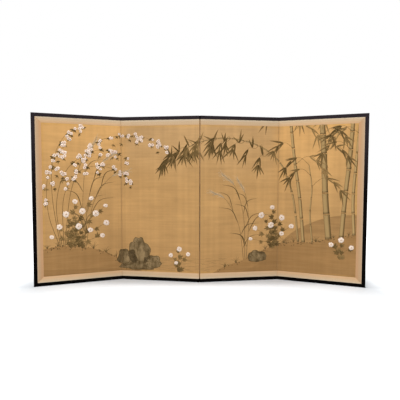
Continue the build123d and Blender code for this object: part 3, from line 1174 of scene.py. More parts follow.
def edge_papers(fold, face, material):
    """Paper pasted over a panel's edge at the bands where no hinge leaf covers it."""
    back, front = fold.leaves
    at_right = face is fold.left
    edge = face.end if at_right else face.start
    outward = 1 if at_right else -1
    points = fold.leaf_points(face)
    papers = []
    for low, high in fold.bands:
        lifts = [face.lift(p) for p in points if low - MM < p.z < high + MM]
        leaf_wraps_the_edge = max(lifts) - min(lifts) > 2 * HINGE_PAPER
        if leaf_wraps_the_edge:
            continue
        columns = stops(front - back - 2 * PASTE_GAP, 4 * MM)
        rows = stops(high - low, PAPER_CELL)
        deep = columns[-1]

        def at(inset, c, r, low=low):
            place = edge - outward * inset
            return face.place(place, low + r - face.foot, back + PASTE_GAP + c)

        def outside(c, r, at=at):
            hem = 0.6 * hem_drop(min(c, deep - c))
            bow = 0.02 * MM * math.sin(r * 55)
            return at(PASTE_GAP + hem + bow, c, r)

        def inside(c, r, at=at):
            return at(HINGE_PAPER, c, r)

        papers.append(sheet_object("paper", columns, rows, outside, inside))
    joined = join_pieces(papers, f"{face.body}_{fold.name}_edge_papers")
    give(joined, material)
    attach(joined, face.body)


class SCREEN_OT_hinges(bpy.types.Operator):
    """Bends the hinge bands round each fold and papers the panels' edges"""

    bl_idname = "folding_screen.hinges"
    bl_label = "Paper Hinges"

    def execute(self, context):
        paper = settings("screen_paper")
        black = settings("screen_timber").lacquer
        for fold in folds():
            # The centre fold's papers are a lighter copy, painted light against the shade in its deep
            # gap
            colour = paper.hinge if fold.is_valley else paper.ridge_hinge
            material = paper_material(f"{fold.name}_paper", colour, HINGE_FIBRE, black)
            turning_bands(fold, material)
            for face in (fold.left, fold.right):
                edge_papers(fold, face, material)
        return {"FINISHED"}


# ---------------------------------------------------------------- brush work

# Strokes are cut off this far inside the painting's outer edges, in millimetres
PAINT_MARGIN = 0.3


class Paint:
    """Strokes of one paint, in millimetres on the open painting. Each point keeps its lift off
    the silk, the stroke's tone, its place across the stroke (-1 to 1) and along it (0 to 1)."""

    def __init__(self):
        self.points = []
        self.values = {"tone": [], "side": [], "run": []}
        self.cells = []

    def add(self, place, lift, tone, side, run):
        """Adds a point and gives its number."""
        self.points.append((place.x, place.y, lift))
        for key, value in zip(self.values, (tone, side, run)):
            self.values[key].append(value)
        return len(self.points) - 1

    def stroke(self, line, width, tone, lift, shape, sides=(-1, 0, 1)):
        """One stroke along a line. shape gives its share of the full width along its run."""
        rows = []
        last = len(line) - 1
        for i, place in enumerate(line):
            ahead = line[min(i + 1, last)] - line[max(i - 1, 0)]
            across = Vector((ahead.y, -ahead.x)).normalized() * (width / 2 * shape(i / last))
            rows.append([self.add(place + across * s, lift, tone, s, i / last) for s in sides])
        for a, b in zip(rows, rows[1:]):
            for j in range(len(sides) - 1):
                self.cells.append((a[j], a[j + 1], b[j + 1], b[j]))

    def blob(self, middle, outline, tone, lift, rings=(0.55, 1.0)):
        """A filled patch inside an anticlockwise outline. side runs from 0 in the middle to 1."""
        centre = self.add(middle, lift, tone, 0.0, 0.5)
        count = len(outline)
        inner = None
        for share in rings:
            ring = [self.add(middle + (p - middle) * share, lift, tone, share, i / count)
                    for i, p in enumerate(outline)]
            for i in range(count):
                j = (i + 1) % count
                if inner is None:
                    self.cells.append((centre, ring[i], ring[j]))
                else:
                    self.cells.append((inner[i], ring[i], ring[j], inner[j]))
            inner = ring

    def flat_mesh(self):
        """All the strokes, lying flat on the open painting."""
        work = bmesh.new()
        layers = [work.verts.layers.float.new(key) for key in self.values]
        verts = [work.verts.new(p) for p in self.points]
        for layer, values in zip(layers, self.values.values()):
            for vert, value in zip(verts, values):
                vert[layer] = value
        for cell in self.cells:
            work.faces.new([verts[i] for i in cell])
        return work

    def lay(self, name, material):
        """Lays the strokes on the panels: one thin solid piece for each panel they touch."""
        for face in faces:
            work = self.flat_mesh()
            cut_to_panel(work, face)
            if work.faces:
                lay_piece(work, face, f"{face.body}_{name}", material)
            work.free()


def cut_to_panel(work, face):
    """Cuts off the parts of the strokes that lie outside one panel."""
    low, high = face.start / MM, face.end / MM
    if face.body == "panel_1":
        low += PAINT_MARGIN
    if face.body == "panel_4":
        high -= PAINT_MARGIN
    limits = (
        ((low, 0, 0), (-1, 0, 0)),
        ((high, 0, 0), (1, 0, 0)),
        ((0, PAINT_MARGIN, 0), (0, -1, 0)),
        ((0, painting_height / MM - PAINT_MARGIN, 0), (0, 1, 0)),
    )
    for place, outward in limits:
        everything = [*work.verts, *work.edges, *work.faces]
        bmesh.ops.bisect_plane(
            work, geom=everything, plane_co=place, plane_no=outward, clear_outer=True
        )


def lay_piece(work, face, name, material):
    """Moves flat strokes on to their panel and makes them a thin solid piece."""
    flat_place = work.verts.layers.float_vector.new("flat_place")
    for vert in work.verts:
        x, y, lift = vert.co * MM
        vert[flat_place] = Vector((x, y, 0))
        vert.co = face.place(x, y, lift)
    mesh = bpy.data.meshes.new(name)
    work.to_mesh(mesh)
    mesh.polygons.foreach_set("use_smooth", [True] * len(mesh.polygons))
    piece = add_object(name, mesh)
    give(piece, material)
    solid = piece.modifiers.new("body", "SOLIDIFY")
    solid.thickness = PAINT_BODY
    solid.offset = -1
    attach(piece, face.body)


def heading_vector(degrees):
    """Step of one unit in a direction."""
    return Vector((math.cos(math.radians(degrees)), math.sin(math.radians(degrees))))


def heading_of(step):
    """Direction of a step, in degrees."""
    return math.degrees(math.atan2(step.y, step.x))


def drooping_line(root, reach, droop, count):
    """Line that sets out from its root along reach and ends off it by droop."""
    return line_through([root, root + reach * 0.55, root + reach + droop], count)


def leaf_shape(run):
    """A long leaf: narrow at its root, widest a third along, and drawn to a point."""
    return max(0.04, math.sin(math.pi * run ** 0.62) ** 0.85) if 0 < run < 1 else 0.06


def petal_shape(run):
    """A strap petal with a round end."""
    if run < 0.75:
        return 0.45 + 0.55 * math.sin(math.pi / 2 * run / 0.75)
    return max(0.12, math.sqrt(max(0.0, 1 - ((run - 0.75) / 0.26) ** 2)))


def bay_shape(run):
    """One bay of a culm, a little wider at both of its joints."""
    return 0.94 + 0.08 * abs(2 * run - 1) ** 5


def joint_shape(run):
    """The line of a joint, pressed harder in the middle."""
    return 0.5 + 2 * run * (1 - run)


def tapering(loss):
    """Shape of a stroke that loses this share of its width along its run."""
    return lambda run: 1 - loss * run


taper = tapering(0.75)


# ---------------------------------------------------------------- bamboo

BAMBOO_SEED = 11

LEAF_LIFTS = (0.20, 0.23, 0.26, 0.29, 0.32)


class Culm(NamedTuple):
    """A bamboo culm: the places that it passes, its widths, its bays and how pale it is."""

    places: list
    width: float
    tip: float
    bays: int
    tone: float
    lift: float


STANDING_CULMS = [
    Culm([(1452, 168), (1428, 420), (1396, 640), (1372, 860)], 19, 16, 7, 0.75, 0.08),
    Culm([(1716, 224), (1708, 420), (1722, 640), (1738, 860)], 17, 14, 6, 0.85, 0.08),
    Culm([(1586, 196), (1566, 420), (1556, 640), (1540, 860)], 35, 30, 6, 0.45, 0.12),
    Culm([(1652, 208), (1668, 430), (1690, 660), (1702, 860)], 25, 21, 6, 0.60, 0.10),
    Culm([(1500, 172), (1486, 330), (1494, 470), (1476, 600)], 10, 5, 6, 0.55, 0.13),
]
ARCHING_CULM = Culm(
    [(1424, 166), (1392, 420), (1322, 604), (1190, 706), (1010, 744), (850, 716), (742, 652)],
    11, 2.5, 13, 0.50, 0.14,
)

# The first joints that bear twigs, and the first on the arching culm that bear two each
STANDING_TWIGS_FROM = 4
ARCHING_TWIGS_FROM = 5
ARCHING_PAIRS_FROM = 8


def draw_culm(body, ink, culm):
    """A culm, bay by bay. Gives its line and where on the line its joints are."""
    line = line_through(culm.places, 240)
    joints = [round((i / culm.bays) ** 0.9 * (len(line) - 1)) for i in range(culm.bays + 1)]
    for foot, head in zip(joints, joints[1:]):
        width = part_way(culm.width, culm.tip, foot / len(line))
        count = max(4, min(12, (head - foot) // 3))
        steps = [foot + 1 + (head - foot - 2) * i / (count - 1) for i in range(count)]
        bay = [line[round(s)] for s in steps]
        body.stroke(bay, width, culm.tone, culm.lift, bay_shape, (-1, -0.6, 0, 0.6, 1))
        draw_joint(ink, line, foot, width, culm.lift + 0.04)
    return line, joints


def draw_joint(ink, line, at, width, lift):
    """The dark line of a joint, a little wider than the culm and bowed down."""
    ahead = (line[min(at + 2, len(line) - 1)] - line[max(at - 2, 0)]).normalized()
    across = Vector((ahead.y, -ahead.x)) * (width / 2 + 0.9)
    bow = ahead * (-0.10 * width)
    mark = line_through([line[at] - across, line[at] + bow, line[at] + across], 7)
    ink.stroke(mark, max(1.0, 0.085 * width), 0.15, lift, joint_shape)


def draw_leaf(ink, root, degrees, length, width, tone, lift, sag):
    """A long leaf. Its tip hangs by sag, a share of its length."""
    reach = heading_vector(degrees) * length
    drop = Vector((0, -sag * length))
    line = line_through([root, root + reach * 0.5 + drop * 0.25, root + reach + drop], 8)
    ink.stroke(line, width, tone, lift, leaf_shape)


def draw_spray(ink, root, places, rng, tone, size):
    """A twig through places, which start at its root, with hanging groups of leaves."""
    line = line_through([root, *[root + Vector(p) for p in places]], 28)
    tip = len(line) - 1
    ink.stroke(line, 2.2 * size, tone * 0.6, 0.16, taper)
    for at in (13, 20, tip):
        heading = heading_of(line[at] - line[at - 2])
        count = rng.choice((3, 4, 4, 5)) if at == tip else rng.choice((2, 3))
        for i in range(count):
            fan = (i - (count - 1) / 2) * rng.uniform(26, 34) + rng.uniform(-7, 7)
            hang = part_way(heading + fan, -90, rng.uniform(0.10, 0.38))
            length = rng.uniform(58, 98) * size
            width = rng.uniform(8.5, 12.5) * size
            shade = tone + rng.uniform(-0.16, 0.2)
            lift = rng.choice(LEAF_LIFTS)
            draw_leaf(ink, line[at], hang, length, width, shade, lift, rng.uniform(0.02, 0.16))


def ink_material(name, dark, pale, vein=0.0):
    """Thin brown-green paint: darker where the brush pressed, with dry streaks along the stroke.
    vein says how much darker its middle line is."""
    nodes = Material(name)
    run, side, tone = nodes.number("run"), nodes.number("side"), nodes.number("tone")
    streaks = nodes.noise(nodes.join(side * 2.2, run * 0.8, tone * 37.0), 2.4, 3.0)
    grain = nodes.noise(nodes.flat_place(), 900.0, 2.0)
    share = tone + (streaks - 0.5) * 0.5 + run * 0.16
    colour = nodes.mix(nodes.spread(share, 0.1, 1.0), dark, pale)
    middle = nodes.spread(abs(side), 0.0, 0.16, 1.0 - vein, 1.0)
    nodes.bump(streaks + grain, 0.06 * MM, 0.5)
    colour = nodes.scaled(colour, nodes.sway(grain, 0.10), middle)
    return nodes.finish(colour, 0.82, Specular_IOR_Level=0.04)


def culm_material(paint):
    """Rounded culms: pale in the middle and dark along both edges, with lengthwise streaks."""
    nodes = Material("culm_paint")
    run, side, tone = nodes.number("run"), nodes.number("side"), nodes.number("tone")
    streaks = nodes.noise(nodes.join(side * 4.0, run, tone * 21.0), 2.6, 3.0)
    grain = nodes.noise(nodes.flat_place(), 700.0, 2.0)
    edge = nodes.spread(abs(side + 0.22) + streaks * 0.35, 0.45, 1.25)
    pale = nodes.mix(tone, paint.culm, toned(paint.culm, 1.45))
    colour = nodes.mix(edge, pale, paint.culm_edge)
    near_joint = nodes.spread(abs(run - 0.5), 0.36, 0.5, 1.0, 0.72)
    nodes.bump(streaks + grain, 0.06 * MM, 0.5)
    colour = nodes.scaled(colour, near_joint, nodes.sway(grain, 0.08), nodes.sway(streaks, 0.14))
    return nodes.finish(colour, 0.8, Specular_IOR_Level=0.04)


class SCREEN_OT_bamboo(bpy.types.Operator):
    """Paints the bamboo: culms, twigs and hanging leaves"""

    bl_idname = "folding_screen.bamboo"
    bl_label = "Bamboo"

    def execute(self, context):
        paint = settings("screen_paint")
        rng = random.Random(BAMBOO_SEED)
        body, ink = Paint(), Paint()
        standing = [draw_culm(body, ink, culm) for culm in STANDING_CULMS]
        arching = draw_culm(body, ink, ARCHING_CULM)
        for line, joints in standing:
            self.draw_standing_twigs(ink, line, joints, rng)
        self.draw_arching_twigs(ink, *arching, rng)
        body.lay("painted_culms", culm_material(paint))
        ink.lay("painted_leaves", ink_material("leaf_paint", paint.leaf_ink, paint.leaf, 0.3))
        return {"FINISHED"}

    def draw_standing_twigs(self, ink, line, joints, rng):
        for at in joints[STANDING_TWIGS_FROM:]:
            way = rng.choice((-1, 1))
            reach = rng.uniform(60, 140)
            shape = ((0.4, 0.34), (0.8, 0.28), (1.15, -0.12))
            places = [(way * reach * out, reach * up) for out, up in shape]
            draw_spray(ink, line[at], places, rng, rng.uniform(0.15, 0.85), 0.85)

    def draw_arching_twigs(self, ink, line, joints, rng):
        for number, at in enumerate(joints):
            if number < ARCHING_TWIGS_FROM:
                continue
            way = rng.choice((-1, 1))
            for rise in ((-1, 1) if number >= ARCHING_PAIRS_FROM else (-1,)):
                reach = rng.uniform(44, 90)
                places = [
                    (-reach * 0.3, rise * reach * 0.22),
                    (-reach * 0.7 + way * 8, -reach * 0.2),
                    (-reach * 0.9 + way * 14, -reach * 0.75),
                ]
                draw_spray(ink, line[at], places, rng, rng.uniform(0.10, 0.5), 0.82)


# ---------------------------------------------------------------- flowers

FLOWER_SEED = 5


class Bloom(NamedTuple):
    """A chrysanthemum: where its stem starts, where it flowers, its radius, and how far it
    faces up, from 1 for full face to 0 for a side view."""

    foot: tuple
    head: tuple
    radius: float
    facing: float


BLOOMS = [
    Bloom((132, 152), (84, 262), 16, 0.9), Bloom((140, 154), (118, 330), 18, 1.0),
    Bloom((150, 156), (166, 398), 15, 0.8), Bloom((160, 156), (204, 344), 18, 0.95),
    Bloom((172, 154), (252, 414), 14, 0.7), Bloom((182, 150), (276, 330), 18, 1.0),
    Bloom((190, 148), (330, 372), 13, 0.55), Bloom((196, 144), (334, 276), 17, 0.9),
    Bloom((156, 154), (184, 262), 18, 1.0), Bloom((178, 150), (246, 240), 15, 0.85),
    Bloom((136, 150), (44, 210), 13, 0.6), Bloom((200, 142), (312, 206), 14, 0.75),
    Bloom((1262, 132), (1176, 246), 15, 0.9), Bloom((1268, 134), (1212, 318), 18, 1.0),
    Bloom((1276, 138), (1268, 262), 18, 0.95), Bloom((1284, 140), (1276, 362), 14, 0.7),
    Bloom((1290, 142), (1330, 304), 17, 1.0), Bloom((1296, 144), (1384, 258), 15, 0.8),
    Bloom((1272, 136), (1150, 186), 12, 0.55), Bloom((1300, 146), (1330, 214), 14, 0.85),
    Bloom((742, 6), (704, 96), 13, 0.9), Bloom((748, 6), (752, 132), 15, 1.0),
    Bloom((756, 6), (802, 104), 13, 0.8), Bloom((750, 6), (734, 54), 11, 0.7),
    Bloom((1640, 92), (1600, 168), 14, 0.9), Bloom((1648, 92), (1652, 196), 16, 1.0),
    Bloom((1656, 92), (1704, 158), 14, 0.85),
]


class Arch(NamedTuple):
    """An arching stem of bush clover."""

    places: list
    bunches: int


ARCHES = [
    Arch([(96, 156), (70, 380), (120, 560), (236, 660), (356, 678), (452, 634)], 11),
    Arch([(104, 156), (108, 420), (190, 560), (310, 590), (420, 552), (492, 486)], 10),
    Arch([(84, 156), (30, 330), (24, 500), (64, 634), (128, 706)], 6),
    Arch([(110, 156), (150, 470), (262, 700), (420, 758), (580, 742), (694, 676)], 12),
    Arch([(88, 156), (50, 420), (56, 610), (120, 752), (220, 800)], 7),
]


# Rings of petals from the outer to the inner: where on the bloom's radius they start and end,
# how many there are, how wide they are as a share of it, and how far they stand up
PETAL_RINGS = (
    (0.18, 1.0, 19, 0.34, 0.0),
    (0.10, 0.72, 15, 0.30, 0.07),
    (0.05, 0.42, 10, 0.24, 0.13),
)

# Lobes of a chrysanthemum's leaf: their turn in degrees, and their length and width as shares of
# the leaf's length
LOBES = ((-72, 0.52, 0.30), (72, 0.52, 0.30), (-36, 0.80, 0.34), (36, 0.80, 0.34), (0, 1.0, 0.38))


def ellipse(middle, radius, squash, turn, count):
    """Outline of a round thing that is seen at a slant."""
    axis = heading_vector(turn) * radius
    side = Vector((-axis.y, axis.x)) * squash
    turns = [2 * math.pi * i / count for i in range(count)]
    return [middle + axis * math.cos(t) + side * math.sin(t) for t in turns]


def draw_bloom(petals, hearts, bloom, rng, number):
    """A chrysanthemum's flower: a patch of petal white, three rings of petals and a heart."""
    middle = Vector(bloom.head)
    radius = bloom.radius
    squash = 0.55 + 0.45 * bloom.facing
    turn = rng.uniform(-25, 25)
    base = 0.30 + 0.10 * (number % 2)
    sink = Vector((0, -0.10 * radius * (1 - bloom.facing)))
    petals.blob(middle, ellipse(middle, radius * 0.80, squash, turn, 16), 0.25, base - 0.02)
    for near, far, count, wide, raised in PETAL_RINGS:
        offset = rng.uniform(0, 360)
        for i in range(count):
            reach = far * rng.uniform(0.88, 1.06)
            heading = offset + 360 * i / count + rng.uniform(-5, 5)
            curl = heading + rng.uniform(-9, 9)
            line = []
            for k in range(6):
                share = part_way(near, reach, k / 5)
                out = heading_vector(part_way(heading, curl, share)) * share * radius
                out.y *= squash
                out.rotate(Matrix.Rotation(math.radians(turn), 2))
                line.append(middle + out + sink * (1 - share))
            lift = base + raised + 0.02 * (i % 3)
            petals.stroke(line, radius * wide, rng.uniform(0.35, 1.0), lift, petal_shape)
    heart = middle + sink
    hearts.blob(heart, ellipse(heart, radius * 0.17, squash, turn, 10), 0.5, base + 0.18)


def draw_flower_leaf(green, root, degrees, size, tone, rng):
    """A lobed leaf: five short strokes from one root, with a dark midrib."""
    lift = rng.choice((0.18, 0.21, 0.24))
    for turn, share, wide in LOBES:
        reach = heading_vector(degrees + turn) * size * share
        line = drooping_line(root, reach, Vector((0, 0)), 6)
        lobe_lift = lift + 0.003 * abs(turn) / 36
        green.stroke(line, size * wide, tone + rng.uniform(-0.06, 0.06), lobe_lift, leaf_shape)
    rib = [root, root + heading_vector(degrees) * size * 0.9]
    green.stroke(line_through(rib, 4), 0.7, 0.0, lift + 0.03, taper)


def draw_flower(petals, hearts, green, bloom, rng, number):
    """A chrysanthemum: its stem, the leaves up both sides of it, and its flower."""
    foot, head = Vector(bloom.foot), Vector(bloom.head)
    bend = Vector(((head.x - foot.x) * 0.10, (head.y - foot.y) * 0.5))
    line = line_through([foot, foot + bend, head], 24)
    green.stroke(line, 2.3, 0.3, 0.15, tapering(0.4))
    gap = max(1, round(len(line) * 30 / (head - foot).length))
    for k, at in enumerate(range(2, 21, gap)):
        way = 1 if k % 2 else -1
        heading = heading_of(line[at + 1] - line[at]) + way * rng.uniform(48, 78)
        draw_flower_leaf(green, line[at], heading, rng.uniform(20, 31), rng.uniform(0.12, 0.6), rng)
    draw_bloom(petals, hearts, bloom, rng, number)


def draw_arch(petals, hearts, green, arch, rng):
    """Bush clover: an arching stem with leaves in threes and hanging bunches of flowers."""
    line = line_through(arch.places, 90)
    green.stroke(line, 2.6, 0.25, 0.13, tapering(0.72))
    for i in range(arch.bunches):
        at = round(30 + 58 * i / (arch.bunches - 1) + rng.uniform(-2, 1))
        way = rng.choice((-1, 1))
        reach = rng.uniform(16, 52)
        out = Vector((way * rng.uniform(0.15, 0.5) * reach, 0.10 * reach))
        hang = out * 1.4 + Vector((0, -reach))
        twig = line_through([line[at], line[at] + out, line[at] + hang], 10)
        green.stroke(twig, 1.4, 0.3, 0.14, taper)
        for spot in (line[at], twig[4], twig[9]):
            heading = rng.uniform(-150, -30)
            for turn in (-58, 0, 58):
                length, width = rng.uniform(11, 18), rng.uniform(5.5, 8)
                tone = rng.uniform(0.1, 0.8)
                draw_leaf(green, spot, heading + turn, length, width, tone, 0.19, 0.05)
        for _ in range(rng.choice((2, 3, 4, 5))):
            spot = twig[rng.randint(2, 9)] + Vector((rng.uniform(-11, 11), rng.uniform(-9, 9)))
            draw_small_flower(petals, hearts, spot, rng.uniform(7.5, 10.5), rng)


def draw_small_flower(petals, hearts, middle, radius, rng):
    """A clover flower: five petals round a dot."""
    offset = rng.uniform(0, 360)
    lift = rng.choice((0.24, 0.28, 0.32))
    for i in range(5):
        reach = heading_vector(offset + 72 * i) * radius * rng.uniform(0.85, 1.1)
        line = line_through([middle, middle + reach * 0.5, middle + reach], 5)
        tone = rng.uniform(0.3, 0.95)
        petals.stroke(line, radius * 0.86, tone, lift + 0.005 * (i % 3), petal_shape)
    hearts.blob(middle, ellipse(middle, radius * 0.2, 1.0, 0, 7), 0.6, lift + 0.03, (1.0,))


def petal_material(paint):
    """Thick shell white, blushed at the root and thinner along the edges."""
    nodes = Material("shell_white")
    run, off_middle = nodes.number("run"), abs(nodes.number("side"))
    grain = nodes.noise(nodes.flat_place(), 800.0, 2.0)
    share = nodes.spread(run, 0.0, 0.75, 0.0, 0.7) + nodes.number("tone") * 0.4
    colour = nodes.mix(share, paint.blush, paint.petal)
    edge = nodes.spread(off_middle, 0.45, 1.0, 1.0, 0.74)
    tip = nodes.spread(run, 0.86, 1.0, 1.0, 0.90)
    nodes.bump(grain - off_middle * 0.8, 0.10 * MM, 0.6)
    colour = nodes.scaled(colour, edge, tip, nodes.sway(grain, 0.05))
    return nodes.finish(colour, 0.78, Specular_IOR_Level=0.2)


class SCREEN_OT_flowers(bpy.types.Operator):
    """Paints the chrysanthemums and the bush clover"""

    bl_idname = "folding_screen.flowers"
    bl_label = "Flowers"

    def execute(self, context):
        paint = settings("screen_paint")
        rng = random.Random(FLOWER_SEED)
        petals, hearts, green = Paint(), Paint(), Paint()
        for arch in ARCHES:
            draw_arch(petals, hearts, green, arch, rng)
        for number, bloom in enumerate(BLOOMS):
            draw_flower(petals, hearts, green, bloom, rng, number)
        green.lay("painted_stems", ink_material("stem_paint", paint.leaf_ink, paint.leaf, 0.2))
        petals.lay("painted_petals", petal_material(paint))
        heart_paint = ink_material("heart_paint", paint.heart, toned(paint.heart, 1.7))
        hearts.lay("painted_hearts", heart_paint)
        return {"FINISHED"}


# ---------------------------------------------------------------- grasses and rocks

GRASS_SEED = 23


class Grass(NamedTuple):
    """A tall grass stem and the length of its plume."""

    places: list
    plume: float


GRASSES = [
    Grass([(214, 150), (236, 400), (300, 590), (392, 668)], 78),
    Grass([(222, 148), (262, 380), (350, 520), (462, 566)], 70),
    Grass([(206, 150), (208, 420), (232, 640), (286, 742)], 84),
    Grass([(1110, 70), (1082, 260), (1012, 400), (924, 452)], 70),
    Grass([(1118, 72), (1110, 300), (1064, 470), (986, 548)], 78),
    Grass([(1126, 74), (1138, 280), (1120, 430), (1072, 520)], 66),
]


class Rock(NamedTuple):
    """A garden rock: its middle, half its width, its height and how dark it is."""

    middle: tuple
    reach: float
    rise: float
    tone: float
    seed: int

    def place(self, turn, share):
        """A place on the rock: its turn round the middle, and its share of the way out."""
        rise = self.rise if math.sin(turn) > 0 else self.rise * 0.55
        out = Vector((self.reach * math.cos(turn), rise * math.sin(turn)))
        return Vector(self.middle) + out * share


ROCKS = [
    Rock((520, 96), 64, 92, 0.55, 3),
    Rock((452, 66), 58, 58, 0.40, 8),
    Rock((596, 46), 52, 44, 0.48, 13),
    Rock((512, 26), 96, 34, 0.35, 21),
    Rock((1188, 78), 54, 40, 0.5, 34),
]
OUTLINE_POINTS = 40
CRACKS = 11
ROCK_MOSS = 16

# The stream's rows of ripples, and where along the banks the tufts stand, in millimetres
WATER_ROWS = 9
TUFTS = (20, 74, 262, 330, 388, 1004, 1066, 1236, 1344, 1398, 1520, 1612, 1690)
BANK_MOSS = 150


def draw_tuft(green, place, rng, count, size):
    """Short blades fanning out of one place."""
    for i in range(count):
        heading = 90 + (i - (count - 1) / 2) * rng.uniform(11, 17)
        length = size * rng.uniform(0.6, 1.1)
        reach = heading_vector(heading) * length
        line = drooping_line(place, reach, Vector((reach.x * 0.35, -0.10 * length)), 7)
        width, tone = rng.uniform(1.6, 2.6), rng.uniform(0.1, 0.7)
        green.stroke(line, width, tone, 0.16 + 0.02 * (i % 4), taper)


def draw_grass(green, plumes, grass, rng):
    """A tall grass: its stem, four long blades, and the hairs of its plume from the tip down."""
    line = line_through(grass.places, 60)
    green.stroke(line, 2.2, 0.45, 0.14, tapering(0.55))
    for at in (6, 14, 22, 30):
        way = rng.choice((-1, 1))
        heading = 90 - way * rng.uniform(16, 34)
        length = rng.uniform(110, 190)
        reach = heading_vector(heading) * length
        blade = drooping_line(line[at], reach, Vector((way * 42, -0.28 * length)), 12)
        width, tone = rng.uniform(3.0, 4.4), rng.uniform(0.25, 0.7)
        green.stroke(blade, width, tone, 0.12 + 0.02 * (at % 3), leaf_shape)
    for i in range(34):
        at = round(59 - 17 * i / 33)
        way = -1 if i % 2 else 1
        heading = heading_of(line[at] - line[at - 1]) + way * rng.uniform(10, 30)
        length = grass.plume * rng.uniform(0.35, 0.62)
        reach = heading_vector(heading) * length
        hair = drooping_line(line[at], reach, Vector((0, -0.25 * length)), 6)
        width, tone = rng.uniform(1.0, 1.7), rng.uniform(0.2, 1.0)
        plumes.stroke(hair, width, tone, 0.20 + 0.02 * (i % 5), taper)


def draw_rock(stone, ink, rock):
    """A rock: its washed body, its inked outline, its cracks and the moss on its upper side."""
    rng = random.Random(rock.seed)
    outline = []
    for i in range(OUTLINE_POINTS):
        turn = 2 * math.pi * i / OUTLINE_POINTS
        rough = noise.noise(Vector((2.1 * math.cos(turn), 2.1 * math.sin(turn), rock.seed)))
        share = 1 + 0.34 * rough + 0.05 * math.cos(5 * turn + rock.seed)
        outline.append(rock.place(turn, share))
    lift = 0.05 + 0.012 * (rock.seed % 5)
    stone.blob(Vector(rock.middle), outline, rock.tone, lift, (0.25, 0.5, 0.75, 0.92, 1.0))
    ink.stroke([*outline, outline[0]], 2.4, 0.12, lift + 0.03,
               lambda run: 0.6 + 0.4 * abs(math.sin(9 * run + rock.seed)))
    for _ in range(CRACKS):
        turn = rng.uniform(0.1, math.pi - 0.1)
        start = rock.place(turn, rng.uniform(0.30, 0.80))
        fall = Vector((rng.uniform(-14, 14), -rng.uniform(18, 44)))
        aside = Vector((rng.uniform(-5, 5), 0))
        crack = line_through([start, start + fall * 0.5 + aside, start + fall], 7)
        ink.stroke(crack, rng.uniform(1.4, 3.2), rng.uniform(0.1, 0.5), lift + 0.03, taper)
    for _ in range(ROCK_MOSS):
        turn = rng.uniform(0.15, math.pi - 0.15)
        draw_moss(ink, rock.place(turn, rng.uniform(0.72, 0.98)), rng)


def draw_moss(ink, spot, rng):
    """One dot of moss."""
    radius = rng.uniform(1.6, 3.4)
    outline = ellipse(spot, radius, 0.8, rng.uniform(0, 90), 9)
    ink.blob(spot, outline, rng.uniform(0.0, 0.35), 0.17, (1.0,))


def draw_water(ink, rng):
    """Ripples of the stream between the banks."""
    for row in range(WATER_ROWS):
        y = 12 + row * 8.5
        left, right = 560 + row * 9, 930 + row * 13
        start = left + rng.uniform(0, 60)
        while start < right - 40:
            end = min(start + rng.uniform(46, 120), right)
            places = [(part_way(start, end, k / 4), y + 2.2 * math.sin(k * 1.7 + row))
                      for k in range(5)]
            ink.stroke(line_through(places, 14), 1.1, 0.75, 0.06,
                       lambda run: 0.3 + 2.8 * run * (1 - run))
            start = end + rng.uniform(16, 58)


def draw_ground(green, ink, rng):
    """Tufts and moss dots along the near banks."""
    for x in TUFTS:
        place = Vector((x, near_ridge(x * MM) / MM - 3))
        draw_tuft(green, place, rng, rng.choice((5, 6, 7)), rng.uniform(26, 46))
    for _ in range(BANK_MOSS):
        x = rng.choice((rng.uniform(4, 430), rng.uniform(960, 1726)))
        y = near_ridge(x * MM) / MM - abs(rng.gauss(0, 9))
        if y > 4:
            draw_moss(ink, Vector((x, y)), rng)


def plume_material(paint):
    """Dry pale paint, darker at the root of each hair."""
    nodes = Material("plume_paint")
    grain = nodes.noise(nodes.flat_place(), 900.0, 2.0)
    share = nodes.number("tone") * nodes.spread(nodes.number("run"), 0.0, 0.6, 0.45, 1.0)
    colour = nodes.mix(share, toned(paint.plume, 0.52), paint.plume)
    nodes.bump(grain, 0.05 * MM, 0.5)
    colour = nodes.scaled(colour, nodes.sway(grain, 0.08))
    return nodes.finish(colour, 0.8, Specular_IOR_Level=0.15)


def rock_material(paint):
    """Ink wash: dark towards the outline and in the hollows, pale where it was left dry."""
    nodes = Material("rock_paint")
    place = nodes.flat_place()
    hollows = nodes.noise(place, 34.0, 5.0, (1, 0.6, 1))
    grain = nodes.noise(place, 420.0, 3.0)
    dark = nodes.number("side") * 0.32 + hollows * 1.5 - nodes.number("tone") * 0.5 - 0.20
    colour = nodes.mix(nodes.spread(dark, 0.15, 0.85), paint.rock, paint.rock_ink)
    nodes.bump(hollows + grain, 0.08 * MM, 0.5)
    colour = nodes.scaled(colour, nodes.sway(grain, 0.14))
    return nodes.finish(colour, 0.85, Specular_IOR_Level=0.12)


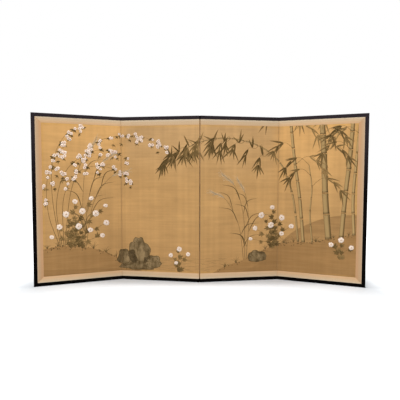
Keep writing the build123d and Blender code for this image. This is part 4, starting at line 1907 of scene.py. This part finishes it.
class SCREEN_OT_grasses(bpy.types.Operator):
    """Paints the tall grasses, the rocks, the stream and the ground along the banks"""

    bl_idname = "folding_screen.grasses"
    bl_label = "Grasses and Rocks"

    def execute(self, context):
        paint = settings("screen_paint")
        rng = random.Random(GRASS_SEED)
        green, plumes, stone, ink = Paint(), Paint(), Paint(), Paint()
        for rock in ROCKS:
            draw_rock(stone, ink, rock)
        draw_water(ink, rng)
        draw_ground(green, ink, rng)
        for grass in GRASSES:
            draw_grass(green, plumes, grass, rng)
        stone.lay("painted_rocks", rock_material(paint))
        ink.lay("painted_ink", ink_material("rock_line_paint", paint.rock_ink, paint.grass))
        green.lay("painted_grass", ink_material("grass_paint", paint.leaf_ink, paint.grass, 0.1))
        plumes.lay("painted_plumes", plume_material(paint))
        return {"FINISHED"}


# ---------------------------------------------------------------- the add-on

STEPS = (
    SCREEN_OT_stage,
    SCREEN_OT_trim,
    SCREEN_OT_core,
    SCREEN_OT_papers,
    SCREEN_OT_silk,
    SCREEN_OT_brocade,
    SCREEN_OT_hinges,
    SCREEN_OT_bamboo,
    SCREEN_OT_flowers,
    SCREEN_OT_grasses,
)


class SCREEN_PT_finisher(bpy.types.Panel):
    """Lists the screen's settings and the steps that make it"""

    bl_idname = "SCREEN_PT_finisher"
    bl_label = "Folding Screen"
    bl_space_type = "VIEW_3D"
    bl_region_type = "UI"
    bl_category = "Folding Screen"

    def draw(self, context):
        for step in STEPS:
            self.layout.operator(step.bl_idname)
        for name, group in SETTINGS.items():
            box = self.layout.box()
            box.label(text=group.__doc__)
            for key in group.__annotations__:
                box.prop(getattr(context.scene, name), key)


CLASSES = (*SETTINGS.values(), *STEPS, SCREEN_PT_finisher)


def register():
    for cls in CLASSES:
        bpy.utils.register_class(cls)
    for name, group in SETTINGS.items():
        setattr(bpy.types.Scene, name, bpy.props.PointerProperty(type=group))


def unregister():
    for name in SETTINGS:
        delattr(bpy.types.Scene, name)
    for cls in reversed(CLASSES):
        bpy.utils.unregister_class(cls)


def main():
    register()
    for step in STEPS:
        getattr(bpy.ops.folding_screen, step.bl_idname.split(".")[1])()


if __name__ == "__main__":
    main()
